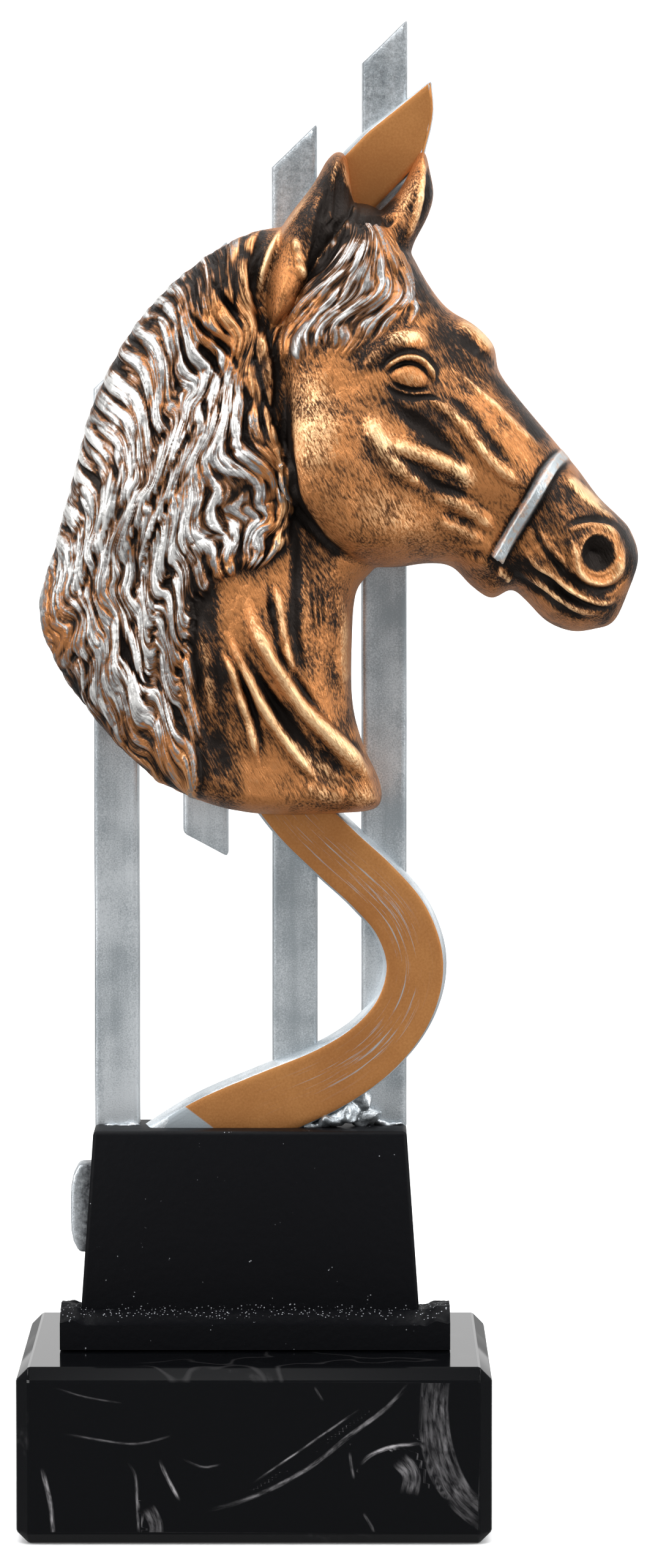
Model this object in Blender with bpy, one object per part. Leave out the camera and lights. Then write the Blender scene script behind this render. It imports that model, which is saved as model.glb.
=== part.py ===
"""Horse head award: a cast resin figure on a black marble block.

The figure is one casting. A black foot carries four flat bars, a curved ribbon crosses in front of them,
and the horse's head and neck stand in high relief in front of both. The marble block is a separate piece.
The origin is the middle of the block's underside, X runs towards the muzzle and -Y towards the viewer.
"""

import math
import random

import bmesh
import bpy
import numpy as np
from mathutils import Vector, noise

# Marble block.
BASE_WIDTH = 0.080
BASE_DEPTH = 0.060
BASE_HEIGHT = 0.030
BASE_CHAMFER = 0.0021
GLUE_GAP = 0.0003

# Black foot of the casting: a low rough flange and a tapered block on it.
FLANGE_WIDTH = 0.0665
FLANGE_DEPTH = 0.026
FLANGE_HEIGHT = 0.0042
FLANGE_SLOPE = 0.0020
FLANGE_LUMP = 0.0022
FLANGE_COLUMNS = 24
FLANGE_ROWS = 9
FOOT_TOP_WIDTH = 0.0532
FOOT_BOTTOM_WIDTH = 0.0575
FOOT_DEPTH = 0.016
FOOT_HEIGHT = 0.0326
FOOT_EDGE = 0.0006
CAST_OVERLAP = 0.0015

# The figure above the foot, up to the tip of its tallest bar. The bars, the ribbon and the head follow it.
FIGURE_HEIGHT = 0.1887

# Four bars behind the figure. Their tops, and the short bar's lower end, are shares of the figure's height.
BAR_COUNT = 4
BAR_WIDTH = 0.0074
BAR_PITCH = 0.0153
BAR_THICKNESS = 0.004
BAR_FRONT = 0.001
BAR_EDGE = 0.0005
BAR_SLANT = 0.0073
BAR_TOPS = (0.7075, 0.8018, 0.9067, 1.0)
SHORT_BAR = 1
SHORT_BAR_BOTTOM = 0.2448
SHORT_BAR_SLANT = 0.0040

# Ribbon that winds behind the head.
RIBBON_WIDTH = 0.0100
RIBBON_TAIL_WIDTH = 0.0138
RIBBON_FRONT = -0.0035
RIBBON_THICKNESS = 0.0060

# Horse head. It is drawn in millimetres, and the drawing is scaled to the figure's height.
HEAD_RIM_Y = -0.003
HEAD_RIM_HALF = 0.0008
HEAD_TRIANGLES = 7400
PILLOW_VOXEL = 0.0009
HEAD_VOXEL = 0.0007
SMOOTH_ROUNDS = 4

DRAWN_TOP = 255.5
DRAWN_FOOT_TOP = 66.8

FOOT_TOP = BASE_HEIGHT + GLUE_GAP + FLANGE_HEIGHT + FOOT_HEIGHT
HEAD_SCALE = FIGURE_HEIGHT / (DRAWN_TOP - DRAWN_FOOT_TOP)
HEAD_LIFT = FOOT_TOP - DRAWN_FOOT_TOP * HEAD_SCALE


# Lines and distances in the drawing's plane, x to the right and z up, in millimetres.


def smooth_line(points, closed=False, per_span=6):
    """A Catmull-Rom curve through the points."""
    p = np.array(points, float)
    if closed:
        p = np.vstack([p[-1], p, p[:2]])
    else:
        p = np.vstack([2 * p[0] - p[1], p, 2 * p[-1] - p[-2]])
    t = np.linspace(0, 1, per_span, endpoint=False)[:, None]
    spans = []
    for a, b, c, d in zip(p, p[1:], p[2:], p[3:]):
        bend = 2 * a - 5 * b + 4 * c - d
        twist = 3 * b - a - 3 * c + d
        spans.append(0.5 * (2 * b + (c - a) * t + bend * t**2 + twist * t**3))
    line = np.vstack(spans)
    return line if closed else np.vstack([line, p[-2]])


def evenly(line, count):
    """The same line, with count points evenly spaced along it."""
    lengths = np.hypot(*np.diff(line, axis=0).T)
    at = np.concatenate([[0], np.cumsum(lengths)])
    wanted = np.linspace(0, at[-1], count)
    return np.column_stack([np.interp(wanted, at, line[:, k]) for k in (0, 1)])


def arc(centre, radii, start, end, tilt=0.0, count=9):
    """Points on an ellipse, between two angles in degrees, anticlockwise from +x."""
    a = np.radians(np.linspace(start, end, count))
    x, z = radii[0] * np.cos(a), radii[1] * np.sin(a)
    c, s = math.cos(math.radians(tilt)), math.sin(math.radians(tilt))
    return np.column_stack([centre[0] + c * x - s * z, centre[1] + s * x + c * z])


def nearest_on_line(points, line):
    """Distance to the line, share of its length there, and signed distance across it."""
    a, step = line[:-1], np.diff(line, axis=0)
    lengths = np.maximum(np.hypot(step[:, 0], step[:, 1]), 1e-9)
    starts = np.concatenate([[0], np.cumsum(lengths)])
    best = np.full(len(points), np.inf)
    along = np.zeros(len(points))
    across = np.zeros(len(points))
    for i, start in enumerate(a):
        rel = points - start
        t = np.clip(rel @ step[i] / lengths[i] ** 2, 0, 1)
        off = rel - t[:, None] * step[i]
        dist = np.hypot(off[:, 0], off[:, 1])
        closer = dist < best
        best[closer] = dist[closer]
        along[closer] = (starts[i] + t[closer] * lengths[i]) / starts[-1]
        turn = step[i, 0] * rel[closer, 1] - step[i, 1] * rel[closer, 0]
        across[closer] = dist[closer] * np.sign(turn)
    return best, along, across


def near_line(points, line, margin):
    """Which points lie in the line's box, grown by the margin."""
    low, high = line.min(axis=0) - margin, line.max(axis=0) + margin
    return np.flatnonzero(((points > low) & (points < high)).all(axis=1))


def smoothstep(value, low, high):
    t = np.clip((value - low) / (high - low), 0, 1)
    return t * t * (3 - 2 * t)


def inside(points, line):
    """Which points lie within a closed line."""
    x, z = points.T
    ends = np.roll(line, -1, axis=0)
    odd = np.zeros(len(points), bool)
    for (ax, az), (bx, bz) in zip(line, ends):
        if az != bz:
            crosses = (az > z) != (bz > z)
            odd ^= crosses & (x < (bx - ax) * (z - az) / (bz - az) + ax)
    return odd


# The masses of the head. Each is an outline and a few places with the swell forward, the swell back
# and how far in from the outline the swell takes to rise.

NECK_OUTLINE = (
    (21.3, 126.0), (20.6, 121.8), (13.0, 120.9), (3.0, 120.7), (-6.0, 122.0), (-14.0, 125.4), (-21.5, 131.2),
    (-29.0, 139.8), (-34.3, 148.5), (-36.2, 157.0), (-33.6, 167.0), (-30.6, 178.5), (-26.8, 191.5),
    (-19.8, 204.2), (-10.5, 213.6), (0.0, 219.5), (8.0, 220.5), (17.0, 220.3), (22.0, 214.0), (26.0, 200.0),
    (26.0, 180.0), (23.0, 166.0), (20.0, 162.3), (17.2, 158.5), (16.5, 150.0), (16.6, 140.0), (18.4, 132.6),
)
NECK_SWELL = (
    (-28, 160, 9, 4.8, 9), (-10, 205, 10, 5.0, 9), (-10, 175, 13, 6.2, 12), (-20, 140, 9, 5.0, 8),
    (0, 124, 10, 5.0, 4), (16, 126, 9, 5.0, 4), (13, 145, 11, 5.6, 8), (2, 150, 13, 6.2, 9),
    (5, 215, 9, 5.0, 6), (12, 170, 11, 6.0, 8),
)

FACE_OUTLINE = (
    (20.0, 162.9), (24.5, 162.9), (29.5, 163.5), (33.5, 162.9), (36.8, 159.7), (40.2, 157.6), (43.6, 159.0),
    (46.0, 157.3), (49.6, 153.7), (53.8, 152.0), (57.5, 152.3), (61.0, 153.6), (63.4, 158.5), (65.2, 164.4),
    (63.8, 169.2), (61.4, 171.9), (58.4, 174.8), (54.8, 179.6), (50.6, 184.6), (45.0, 191.2), (41.5, 196.0),
    (40.5, 200.4), (37.3, 203.8), (32.6, 206.8), (29.3, 211.0), (26.4, 216.2), (22.0, 220.0), (14.0, 220.0),
    (6.5, 213.0), (3.0, 203.0), (3.2, 192.0), (3.4, 182.0), (5.2, 173.4), (10.5, 167.2), (15.5, 163.6),
)
FACE_SWELL = (
    (12, 180, 17, 5.0, 6), (20, 172, 16, 6.0, 7), (28, 182, 17, 7.0, 10), (26, 196, 17, 7.0, 11),
    (18, 210, 14, 6.0, 9), (36, 200, 12, 7.0, 9), (42, 182, 16, 7.0, 9), (38, 166, 13, 6.5, 7),
    (54, 168, 15, 7.0, 8), (60, 158, 12, 6.5, 7), (40, 160, 10, 5.5, 6),
)

NEAR_EAR_OUTLINE = (
    (1.0, 207.0), (1.6, 212.5), (4.6, 220.4), (9.8, 227.4), (12.2, 231.6), (14.2, 233.2), (15.6, 231.8),
    (16.4, 226.4), (17.2, 222.0), (14.8, 217.6), (10.6, 211.4), (7.4, 205.6), (4.0, 202.8), (1.8, 203.8),
)
NEAR_EAR_SWELL = ((4, 207, 14.5, 1, 4.5), (9, 218, 12.5, -1.5, 4.0), (14, 229, 9.0, -3.0, 3.0))

FAR_EAR_OUTLINE = (
    (18.4, 219.4), (20.2, 222.0), (24.6, 226.8), (27.6, 232.4), (28.8, 233.1), (29.7, 229.8), (30.3, 226.0),
    (29.4, 222.4), (27.2, 218.2), (25.6, 215.2), (20.6, 216.2),
)
FAR_EAR_SWELL = ((22, 219, 7.5, 2.5, 4.0), (27, 226, 6.0, 1.5, 3.0), (28.8, 231.5, 3.6, 0.5, 2.0))

MASSES = (
    (NECK_OUTLINE, NECK_SWELL),
    (FACE_OUTLINE, FACE_SWELL),
    (NEAR_EAR_OUTLINE, NEAR_EAR_SWELL),
    (FAR_EAR_OUTLINE, FAR_EAR_SWELL),
)

# Hair. Guides run from root to tip, and locks are combed between them.
MANE_GUIDES = (
    ((1.5, 218.5), (-1.5, 211.0), (0.8, 203.0), (3.0, 194.0), (4.0, 184.0), (5.2, 173.0), (3.5, 166.0)),
    ((-5.0, 216.5), (-6.0, 209.5), (-1.5, 200.5), (1.0, 191.0), (1.0, 182.0), (2.5, 173.0), (0.5, 165.0)),
    ((-11.5, 212.5), (-10.5, 204.5), (-6.0, 195.0), (-5.5, 186.0), (-6.5, 177.0), (-5.5, 169.0), (-4.0, 161.5)),
    ((-18.5, 205.5), (-15.5, 197.5), (-13.0, 188.5), (-12.5, 179.0), (-13.0, 169.5), (-10.0, 160.5), (-9.5, 152.0)),
    ((-24.3, 196.5), (-21.5, 187.5), (-19.0, 178.0), (-20.0, 168.0), (-17.5, 157.5), (-14.0, 147.0), (-10.0, 136.0)),
    ((-28.8, 184.5), (-26.5, 175.5), (-27.5, 166.0), (-25.5, 156.0), (-23.5, 146.5), (-17.5, 137.0), (-10.5, 126.0)),
    ((-31.6, 174.5), (-32.5, 165.5), (-34.0, 157.5), (-31.5, 149.5), (-27.0, 142.0), (-21.0, 134.0), (-13.0, 126.5)),
)
MANE_ROWS = 5
MANE_COLUMNS = 12
MANE_LOCK_SHARE = 0.42
MANE_LOCK_HALF = 2.3
MANE_LOCK_LIFT = 1.5
MANE_WAVE = 0.9

FORELOCK_GUIDES = (
    ((15.0, 219.0), (11.0, 212.0), (7.0, 205.0), (4.6, 199.5), (5.4, 196.0)),
    ((16.5, 219.0), (14.0, 212.0), (10.5, 205.0), (9.0, 200.0), (9.6, 197.0)),
    ((18.0, 219.0), (18.3, 212.0), (16.0, 205.5), (14.0, 200.0), (14.6, 196.5)),
    ((20.0, 218.5), (23.0, 212.5), (22.5, 207.0), (19.5, 202.0), (18.0, 198.5)),
    ((22.5, 217.5), (26.5, 212.5), (28.5, 208.5), (27.5, 205.5), (24.5, 203.6)),
)
FORELOCK_ROWS = 3
FORELOCK_COLUMNS = 8
FORELOCK_LOCK_SHARE = 0.6
FORELOCK_LOCK_HALF = 1.35
FORELOCK_LOCK_LIFT = 0.9
FORELOCK_WAVE = 0.35
HAIR_SEED = 11

# Face.
EYE = (26.0, 195.2)
EYE_RADII = (3.7, 2.5)
EYE_TILT = -12.0
EYEBALL_RISE = 2.2
SOCKET_RADII = (6.4, 4.8)
SOCKET_DEPTH = 1.5
BROW_RADII = (7.4, 6.0)
BROW_HALF = 2.0
BROW_RISE = 1.5
UPPER_LID_RADII = (4.7, 3.7)
LOWER_LID_RADII = (4.4, 3.2)
LID_HALF = 0.85
LID_RISE = 0.9
NOSTRIL = (57.4, 165.4)
NOSTRIL_RADII = (2.9, 3.0)
NOSTRIL_TILT = 35.0
NOSEBAND = ((53.6, 182.2), (50.3, 181.2), (46.8, 175.2), (43.4, 169.0), (41.2, 164.8))
NOSEBAND_HALF = 1.5
NOSEBAND_RISE = 1.3
CHEEK_EDGE = ((4.6, 196.5), (5.0, 186.0), (6.2, 177.0), (10.2, 170.4), (15.0, 165.6), (20.5, 162.6))
NOSE_RIDGE = ((31.2, 199.0), (36.5, 193.6), (43.0, 187.6), (49.5, 181.6), (55.0, 176.2), (60.4, 170.8), (62.2, 166.5))
CREST_TOP = ((22.5, 192.6), (28.0, 190.2), (33.5, 186.6), (38.4, 182.8), (42.5, 177.6))
CREST_LOW = ((19.0, 187.0), (22.5, 180.8), (27.5, 176.2), (33.0, 172.4), (40.0, 168.0))
FOLD_BACK = ((-5.4, 150.0), (-3.4, 142.5), (-1.0, 135.5), (0.4, 127.5))
FOLD_FRONT = ((2.2, 162.0), (4.2, 150.0), (9.5, 139.5), (17.4, 127.0))

# Ears.
EAR_HOLLOW = ((9.4, 213.0), (12.2, 221.0), (14.0, 228.6))
EAR_HOLLOW_HALF = 2.4
EAR_HOLLOW_DEPTH = 2.6
EAR_RIM_HALF = 0.9
EAR_RIM_RISE = 0.7


def between(first, last, share, count=12):
    """The line that lies a share of the way from one guide to another."""
    a, b = (evenly(smooth_line(g), count) for g in (first, last))
    return (1 - share) * a + share * b


def add_stroke(height, points, path, half, rise, fade=0.2, sharp=2.0):
    """A rounded ridge along a path, or a groove where rise is negative, fading out at both ends."""
    line = smooth_line(path)
    found = near_line(points, line, half)
    dist, along, _ = nearest_on_line(points[found], line)
    across = np.clip(1 - (dist / half) ** 2, 0, 1) ** sharp
    ends = smoothstep(along, -0.001, fade) * smoothstep(1 - along, -0.001, fade) if fade else 1.0
    height[found] += rise * across * ends


def add_dome(height, points, centre, radii, rise, tilt=0.0, power=1.5):
    """A rounded swelling on an ellipse, or a hollow where rise is negative."""
    c, s = math.cos(math.radians(tilt)), math.sin(math.radians(tilt))
    x, z = (points - np.array(centre)).T
    q = ((c * x + s * z) / radii[0]) ** 2 + ((c * z - s * x) / radii[1]) ** 2
    height += rise * np.clip(1 - q, 0, 1) ** power


def comb(points, guides, rows, columns, share, half, lift, wave):
    """Overlapping locks between the guides: how high each point is raised, and where no lock covers it 0."""
    table = np.stack([evenly(smooth_line(g), 60) for g in guides])
    spread = np.arange(len(guides))
    places = np.linspace(0, 1, 60)
    dice = random.Random(HAIR_SEED)
    raised = np.zeros(len(points))
    for row in reversed(range(rows)):
        for column in range(columns):
            across = (column + 0.5 * (row % 2) + dice.uniform(-0.25, 0.25)) / (columns - 0.5)
            start = (row + dice.uniform(-0.3, 0.3)) / rows * (1 - 0.45 * share)
            length = share * dice.uniform(0.8, 1.2)
            phase = dice.uniform(0, 2 * math.pi)
            size = dice.uniform(0.75, 1.25)
            at = np.linspace(max(start, 0), min(start + length, 1), 14)
            lane = np.clip(across, 0, 1) * (len(guides) - 1)
            x, z = (
                np.array([np.interp(lane, spread, [np.interp(t, places, g[:, k]) for g in table]) for t in at])
                for k in (0, 1)
            )
            line = np.column_stack([x, z])
            side = np.gradient(line, axis=0)[:, ::-1] * (1, -1)
            side /= np.maximum(np.hypot(side[:, 0], side[:, 1]), 1e-9)[:, None]
            line = line + side * (wave * np.sin(at * 22 + phase))[:, None]
            width = half * size
            found = near_line(points, line, width)
            dist, along, _ = nearest_on_line(points[found], line)
            reach = width * np.sin(np.pi * np.clip(0.16 + 0.82 * along, 0, 1)) ** 0.7
            q = np.clip(1 - (dist / np.maximum(reach, 0.05)) ** 2, 0, 1)
            rise = lift * (0.55 + 0.45 * along) * size * np.sqrt(q)
            raised[found] = np.where(q > 0, np.maximum(rise, 0.75 * raised[found]), raised[found])
    return raised


def carve_hair(points):
    """The mane and the forelock."""
    mane = comb(
        points, MANE_GUIDES, MANE_ROWS, MANE_COLUMNS, MANE_LOCK_SHARE, MANE_LOCK_HALF, MANE_LOCK_LIFT, MANE_WAVE
    )
    forelock = comb(
        points, FORELOCK_GUIDES, FORELOCK_ROWS, FORELOCK_COLUMNS, FORELOCK_LOCK_SHARE, FORELOCK_LOCK_HALF,
        FORELOCK_LOCK_LIFT, FORELOCK_WAVE,
    )
    return np.maximum(mane, forelock)


def carve_eye(height, points):
    """Socket, brow, lids and eyeball."""
    add_dome(height, points, EYE, SOCKET_RADII, -SOCKET_DEPTH, EYE_TILT)
    add_stroke(height, points, arc(EYE, BROW_RADII, 15, 165, EYE_TILT), BROW_HALF, BROW_RISE)
    add_stroke(height, points, arc(EYE, UPPER_LID_RADII, -10, 190, EYE_TILT), LID_HALF, LID_RISE)
    add_stroke(height, points, arc(EYE, LOWER_LID_RADII, 190, 350, EYE_TILT), LID_HALF, 0.6 * LID_RISE)
    add_dome(height, points, EYE, EYE_RADII, EYEBALL_RISE, EYE_TILT, 0.6)


def carve_muzzle(height, points):
    """Nostril, lips and the folds between them."""
    ring = [1.75 * r for r in NOSTRIL_RADII]
    add_stroke(height, points, arc(NOSTRIL, [1.35 * r for r in ring], 0, 360, NOSTRIL_TILT, 17), 1.2, -0.8, 0)
    add_stroke(height, points, arc(NOSTRIL, ring, 0, 360, NOSTRIL_TILT, 17), 1.5, 1.3, 0)
    add_dome(height, points, NOSTRIL, NOSTRIL_RADII, -3.4, NOSTRIL_TILT, 0.7)
    for reach in (9.0, 11.6):
        add_stroke(height, points, arc(NOSTRIL, (reach, reach * 0.83), 165, 290), 1.1, -0.8, 0.25)
    add_stroke(height, points, ((43.6, 163.8), (48.0, 160.6), (53.0, 156.2), (58.6, 152.8)), 1.0, -1.5, 0.1)
    add_stroke(height, points, ((44.6, 160.6), (48.5, 156.8), (53.5, 153.4)), 0.9, -0.7)
    add_stroke(height, points, ((35.0, 166.4), (39.0, 164.8), (43.5, 163.8)), 1.0, -1.0)
    add_stroke(height, points, ((62.0, 171.6), (63.2, 168.4), (64.2, 164.4)), 0.8, -0.9, 0.1)


def carve_face(height, points):
    """Cheek, facial crest, nose and brow."""
    add_dome(height, points, (16.5, 179.0), (13.0, 16.0), 1.8, 20)
    add_stroke(height, points, CHEEK_EDGE, 1.6, -1.4, 0.1)
    add_stroke(height, points, NOSE_RIDGE, 1.8, 0.9, 0.1)
    for share in (0.0, 0.5, 1.0):
        add_stroke(height, points, between(CREST_TOP, CREST_LOW, share), 2.0, 1.3, 0.3)
    for share in (0.26, 0.76):
        add_stroke(height, points, between(CREST_TOP, CREST_LOW, share), 1.5, -1.2, 0.3)
    add_stroke(height, points, ((31.0, 191.6), (37.0, 187.8), (42.5, 182.6), (46.0, 177.0)), 2.0, -1.2, 0.2)
    add_stroke(height, points, ((33.4, 204.2), (37.0, 200.4), (41.2, 196.6)), 1.4, -1.6, 0.25)
    add_stroke(height, points, ((14.2, 200.0), (14.4, 194.0)), 1.2, -0.9)
    add_stroke(height, points, NOSEBAND, NOSEBAND_HALF, NOSEBAND_RISE, 0.03, 0.8)


def carve_neck(height, points):
    """Long muscle folds that run down to the chest, and the throat."""
    for share in (0.0, 0.34, 0.72, 1.0):
        add_stroke(height, points, between(FOLD_BACK, FOLD_FRONT, share), 1.5, 1.2, 0.25)
    for share in (0.17, 0.53):
        add_stroke(height, points, between(FOLD_BACK, FOLD_FRONT, share), 1.4, -1.7, 0.2)
    add_stroke(height, points, ((7.4, 170.0), (7.3, 158.0), (8.0, 146.0)), 1.3, -0.9)
    add_stroke(height, points, ((4.3, 165.0), (4.6, 156.0), (6.2, 146.0)), 1.1, -0.8)
    add_stroke(height, points, ((13.4, 160.0), (14.0, 149.0), (16.0, 137.0), (19.4, 127.5)), 1.5, 0.8)


def carve_ears(height, points):
    """The open side of each ear."""
    add_stroke(height, points, EAR_HOLLOW, EAR_HOLLOW_HALF, -EAR_HOLLOW_DEPTH)
    for rim in (
        ((3.4, 211.0), (7.0, 219.6), (11.0, 226.6), (14.0, 232.4)),
        ((15.2, 231.6), (16.2, 225.6), (16.2, 221.0)),
        ((8.2, 211.6), (9.6, 217.6), (11.0, 223.4)),
        ((28.2, 232.6), (28.0, 227.4), (26.8, 221.0)),
    ):
        add_stroke(height, points, rim, EAR_RIM_HALF, EAR_RIM_RISE, 0.1)
    add_stroke(height, points, ((29.2, 231.0), (29.3, 226.4), (28.0, 221.6)), 1.0, -1.2)
    add_stroke(height, points, ((16.4, 221.0), (18.2, 220.0), (20.0, 220.6)), 1.6, -2.0)


def carve(points):
    """How far the front surface is raised or cut at each point of the drawing."""
    height = carve_hair(points)
    carve_face(height, points)
    carve_eye(height, points)
    carve_muzzle(height, points)
    carve_neck(height, points)
    carve_ears(height, points)
    return height


# Making objects.


def clear_scene():
    for obj in list(bpy.data.objects):
        bpy.data.objects.remove(obj, do_unlink=True)


def material(name, colour, roughness, metallic):
    made = bpy.data.materials.new(name)
    made.use_nodes = True
    shader = made.node_tree.nodes["Principled BSDF"]
    shader.inputs["Base Color"].default_value = (*colour, 1)
    shader.inputs["Roughness"].default_value = roughness
    shader.inputs["Metallic"].default_value = metallic
    return made


def object_of(name, bm_or_mesh):
    """A new object in the scene from a bmesh or a mesh."""
    mesh = bm_or_mesh
    if isinstance(bm_or_mesh, bmesh.types.BMesh):
        bmesh.ops.recalc_face_normals(bm_or_mesh, faces=bm_or_mesh.faces)
        mesh = bpy.data.meshes.new(name)
        bm_or_mesh.to_mesh(mesh)
        bm_or_mesh.free()
    made = bpy.data.objects.new(name, mesh)
    bpy.context.scene.collection.objects.link(made)
    return made


def finished_mesh(obj):
    """The object's mesh with its modifiers applied. The object itself is removed."""
    bpy.context.view_layer.update()
    graph = bpy.context.evaluated_depsgraph_get()
    mesh = bpy.data.meshes.new_from_object(obj.evaluated_get(graph))
    bpy.data.objects.remove(obj, do_unlink=True)
    return mesh


def remesh(obj, voxel, smooth_rounds=0):
    """The object's mesh rebuilt from voxels, which joins overlapping bodies."""
    modifier = obj.modifiers.new("voxels", "REMESH")
    modifier.mode = "VOXEL"
    modifier.voxel_size = voxel
    if smooth_rounds:
        soft = obj.modifiers.new("soften", "SMOOTH")
        soft.factor = 0.5
        soft.iterations = smooth_rounds
    return finished_mesh(obj)


def prism(outline, front, back):
    """A flat closed outline, in x and z, extruded from front to back along y."""
    bm = bmesh.new()
    face = bm.faces.new([bm.verts.new((x, front, z)) for x, z in outline])
    moved = bmesh.ops.extrude_face_region(bm, geom=[face])["geom"]
    bmesh.ops.translate(bm, verts=[g for g in moved if isinstance(g, bmesh.types.BMVert)], vec=(0, back - front, 0))
    return bm


def bevel_edges(bm, edges, width):
    bmesh.ops.bevel(
        bm, geom=edges, offset=width, offset_type="OFFSET", segments=1, profile=0.5, affect="EDGES", material=-1
    )


def coordinates(mesh, key="vertices", value="co"):
    found = getattr(mesh, key)
    array = np.empty(len(found) * 3)
    found.foreach_get(value if key == "vertices" else "vector", array)
    return array.reshape(-1, 3)


def pillow(outline, swell):
    """One mass of the head: a slab of the outline, swollen to the front and to the back."""
    line = smooth_line(outline, closed=True)
    half = 2.5 * PILLOW_VOXEL
    scaled = line * HEAD_SCALE
    slab = object_of("slab", prism(scaled, -half, half))
    mesh = remesh(slab, PILLOW_VOXEL)
    place = coordinates(mesh)
    drawn = place[:, (0, 2)] / HEAD_SCALE
    ring = np.vstack([line, line[:1]])
    dist, _, _ = nearest_on_line(drawn, ring)
    dist[~inside(drawn, line)] = 0
    rows = np.array(swell, float)
    gap = np.hypot(drawn[:, None, 0] - rows[None, :, 0], drawn[:, None, 1] - rows[None, :, 1])
    weight = 1 / (gap**3 + 8)
    forward, back, reach = (weight @ rows[:, k] / weight.sum(axis=1) for k in (2, 3, 4))
    rise = np.sqrt(1 - (1 - np.clip(dist / reach, 0, 1)) ** 2)
    side = np.clip(place[:, 1] / half, -1, 1)
    swollen = np.where(side < 0, forward, back) * rise * HEAD_SCALE
    place[:, 1] = HEAD_RIM_Y + side * (HEAD_RIM_HALF + swollen)
    mesh.vertices.foreach_set("co", place.ravel())
    return mesh


def joined(meshes):
    """One mesh that holds all of these."""
    bm = bmesh.new()
    for mesh in meshes:
        bm.from_mesh(mesh)
        bpy.data.meshes.remove(mesh)
    return bm


def horse_head():
    """The masses run together and carved, as a closed mesh at its place on the figure."""
    body = object_of("masses", joined([pillow(*mass) for mass in MASSES]))
    mesh = remesh(body, HEAD_VOXEL, SMOOTH_ROUNDS)
    place = coordinates(mesh)
    normal = coordinates(mesh, "vertex_normals")
    drawn = place[:, (0, 2)] / HEAD_SCALE
    facing = smoothstep(-normal[:, 1], -0.1, 0.35)
    place += normal * (carve(drawn) * facing * HEAD_SCALE)[:, None]
    place[:, 2] += HEAD_LIFT
    mesh.vertices.foreach_set("co", place.ravel())
    carved = object_of("carved", mesh)
    fewer = carved.modifiers.new("fewer", "DECIMATE")
    fewer.ratio = min(1.0, HEAD_TRIANGLES / (2 * len(mesh.polygons)))
    return finished_mesh(carved)


def bars():
    """Flat bars with slanted tops. One is short and ends in a slant under the neck; the others stand in the foot."""
    first = -(BAR_PITCH * (BAR_COUNT - 1) + BAR_WIDTH) / 2 - 0.0009
    made = []
    for i in range(BAR_COUNT):
        left = first + i * BAR_PITCH
        right = left + BAR_WIDTH
        top = FOOT_TOP + BAR_TOPS[i] * FIGURE_HEIGHT
        low_left = FOOT_TOP - CAST_OVERLAP
        low_right = low_left
        if i == SHORT_BAR:
            low_right = FOOT_TOP + SHORT_BAR_BOTTOM * FIGURE_HEIGHT
            low_left = low_right + SHORT_BAR_SLANT
        outline = ((left, low_left), (left, top - BAR_SLANT), (right, top), (right, low_right))
        bm = prism(outline, BAR_FRONT, BAR_FRONT + BAR_THICKNESS)
        bevel_edges(bm, bm.edges[:], BAR_EDGE)
        made.append(object_of(f"bar_{i}", bm))
    return made


# The ribbon's middle line, in millimetres on the same drawing, and the corners of its cut top end.
RIBBON_LINE = (
    (22.5, 232.9), (12.0, 224.0), (-1.0, 210.0), (-10.5, 192.0), (-12.5, 172.0), (-8.5, 152.0), (0.5, 131.0),
    (6.6, 121.4), (13.7, 114.2), (20.0, 108.4), (25.0, 102.4), (27.3, 95.0), (25.6, 87.4), (20.6, 80.8),
    (13.0, 75.5), (3.0, 71.0), (-8.0, 66.0), (-19.4, 59.6), (-31.7, 52.8),
)
RIBBON_TIP = ((26.2, 241.6), (29.9, 245.2), (30.3, 239.5), (28.6, 232.0), (24.5, 228.0))


def ribbon():
    """The ribbon's outline is its middle line moved half its width to each side. It widens to its upright tail end."""
    middle = evenly(smooth_line(RIBBON_LINE), 74)
    run = np.gradient(middle, axis=0)
    side = run[:, ::-1] * (1, -1) / np.hypot(run[:, 0], run[:, 1])[:, None]
    share = smoothstep(np.linspace(0, 1, 74), 0.72, 0.95)[:, None]
    half = (RIBBON_WIDTH + (RIBBON_TAIL_WIDTH - RIBBON_WIDTH) * share) / 2 / HEAD_SCALE
    upper, lower = middle + side * half, middle - side * half
    end = middle[-1, 0]
    upper = np.vstack([upper[upper[:, 0] > end][:-1], (end, upper[-1, 1] - 1.0)])
    lower = np.vstack([lower[:-1], (end, lower[-1, 1] + 1.4)])
    outline = np.vstack([upper[:1:-1], RIBBON_TIP, lower[2:]])
    outline = outline * HEAD_SCALE + (0, HEAD_LIFT)
    return object_of("ribbon", prism(outline, RIBBON_FRONT, RIBBON_FRONT + RIBBON_THICKNESS))


def box(width, depth, low, high):
    bm = bmesh.new()
    bmesh.ops.create_cube(bm, size=1)
    bmesh.ops.scale(bm, vec=(width, depth, high - low), verts=bm.verts)
    bmesh.ops.translate(bm, vec=(0, 0, (low + high) / 2), verts=bm.verts)
    return bm


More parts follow.
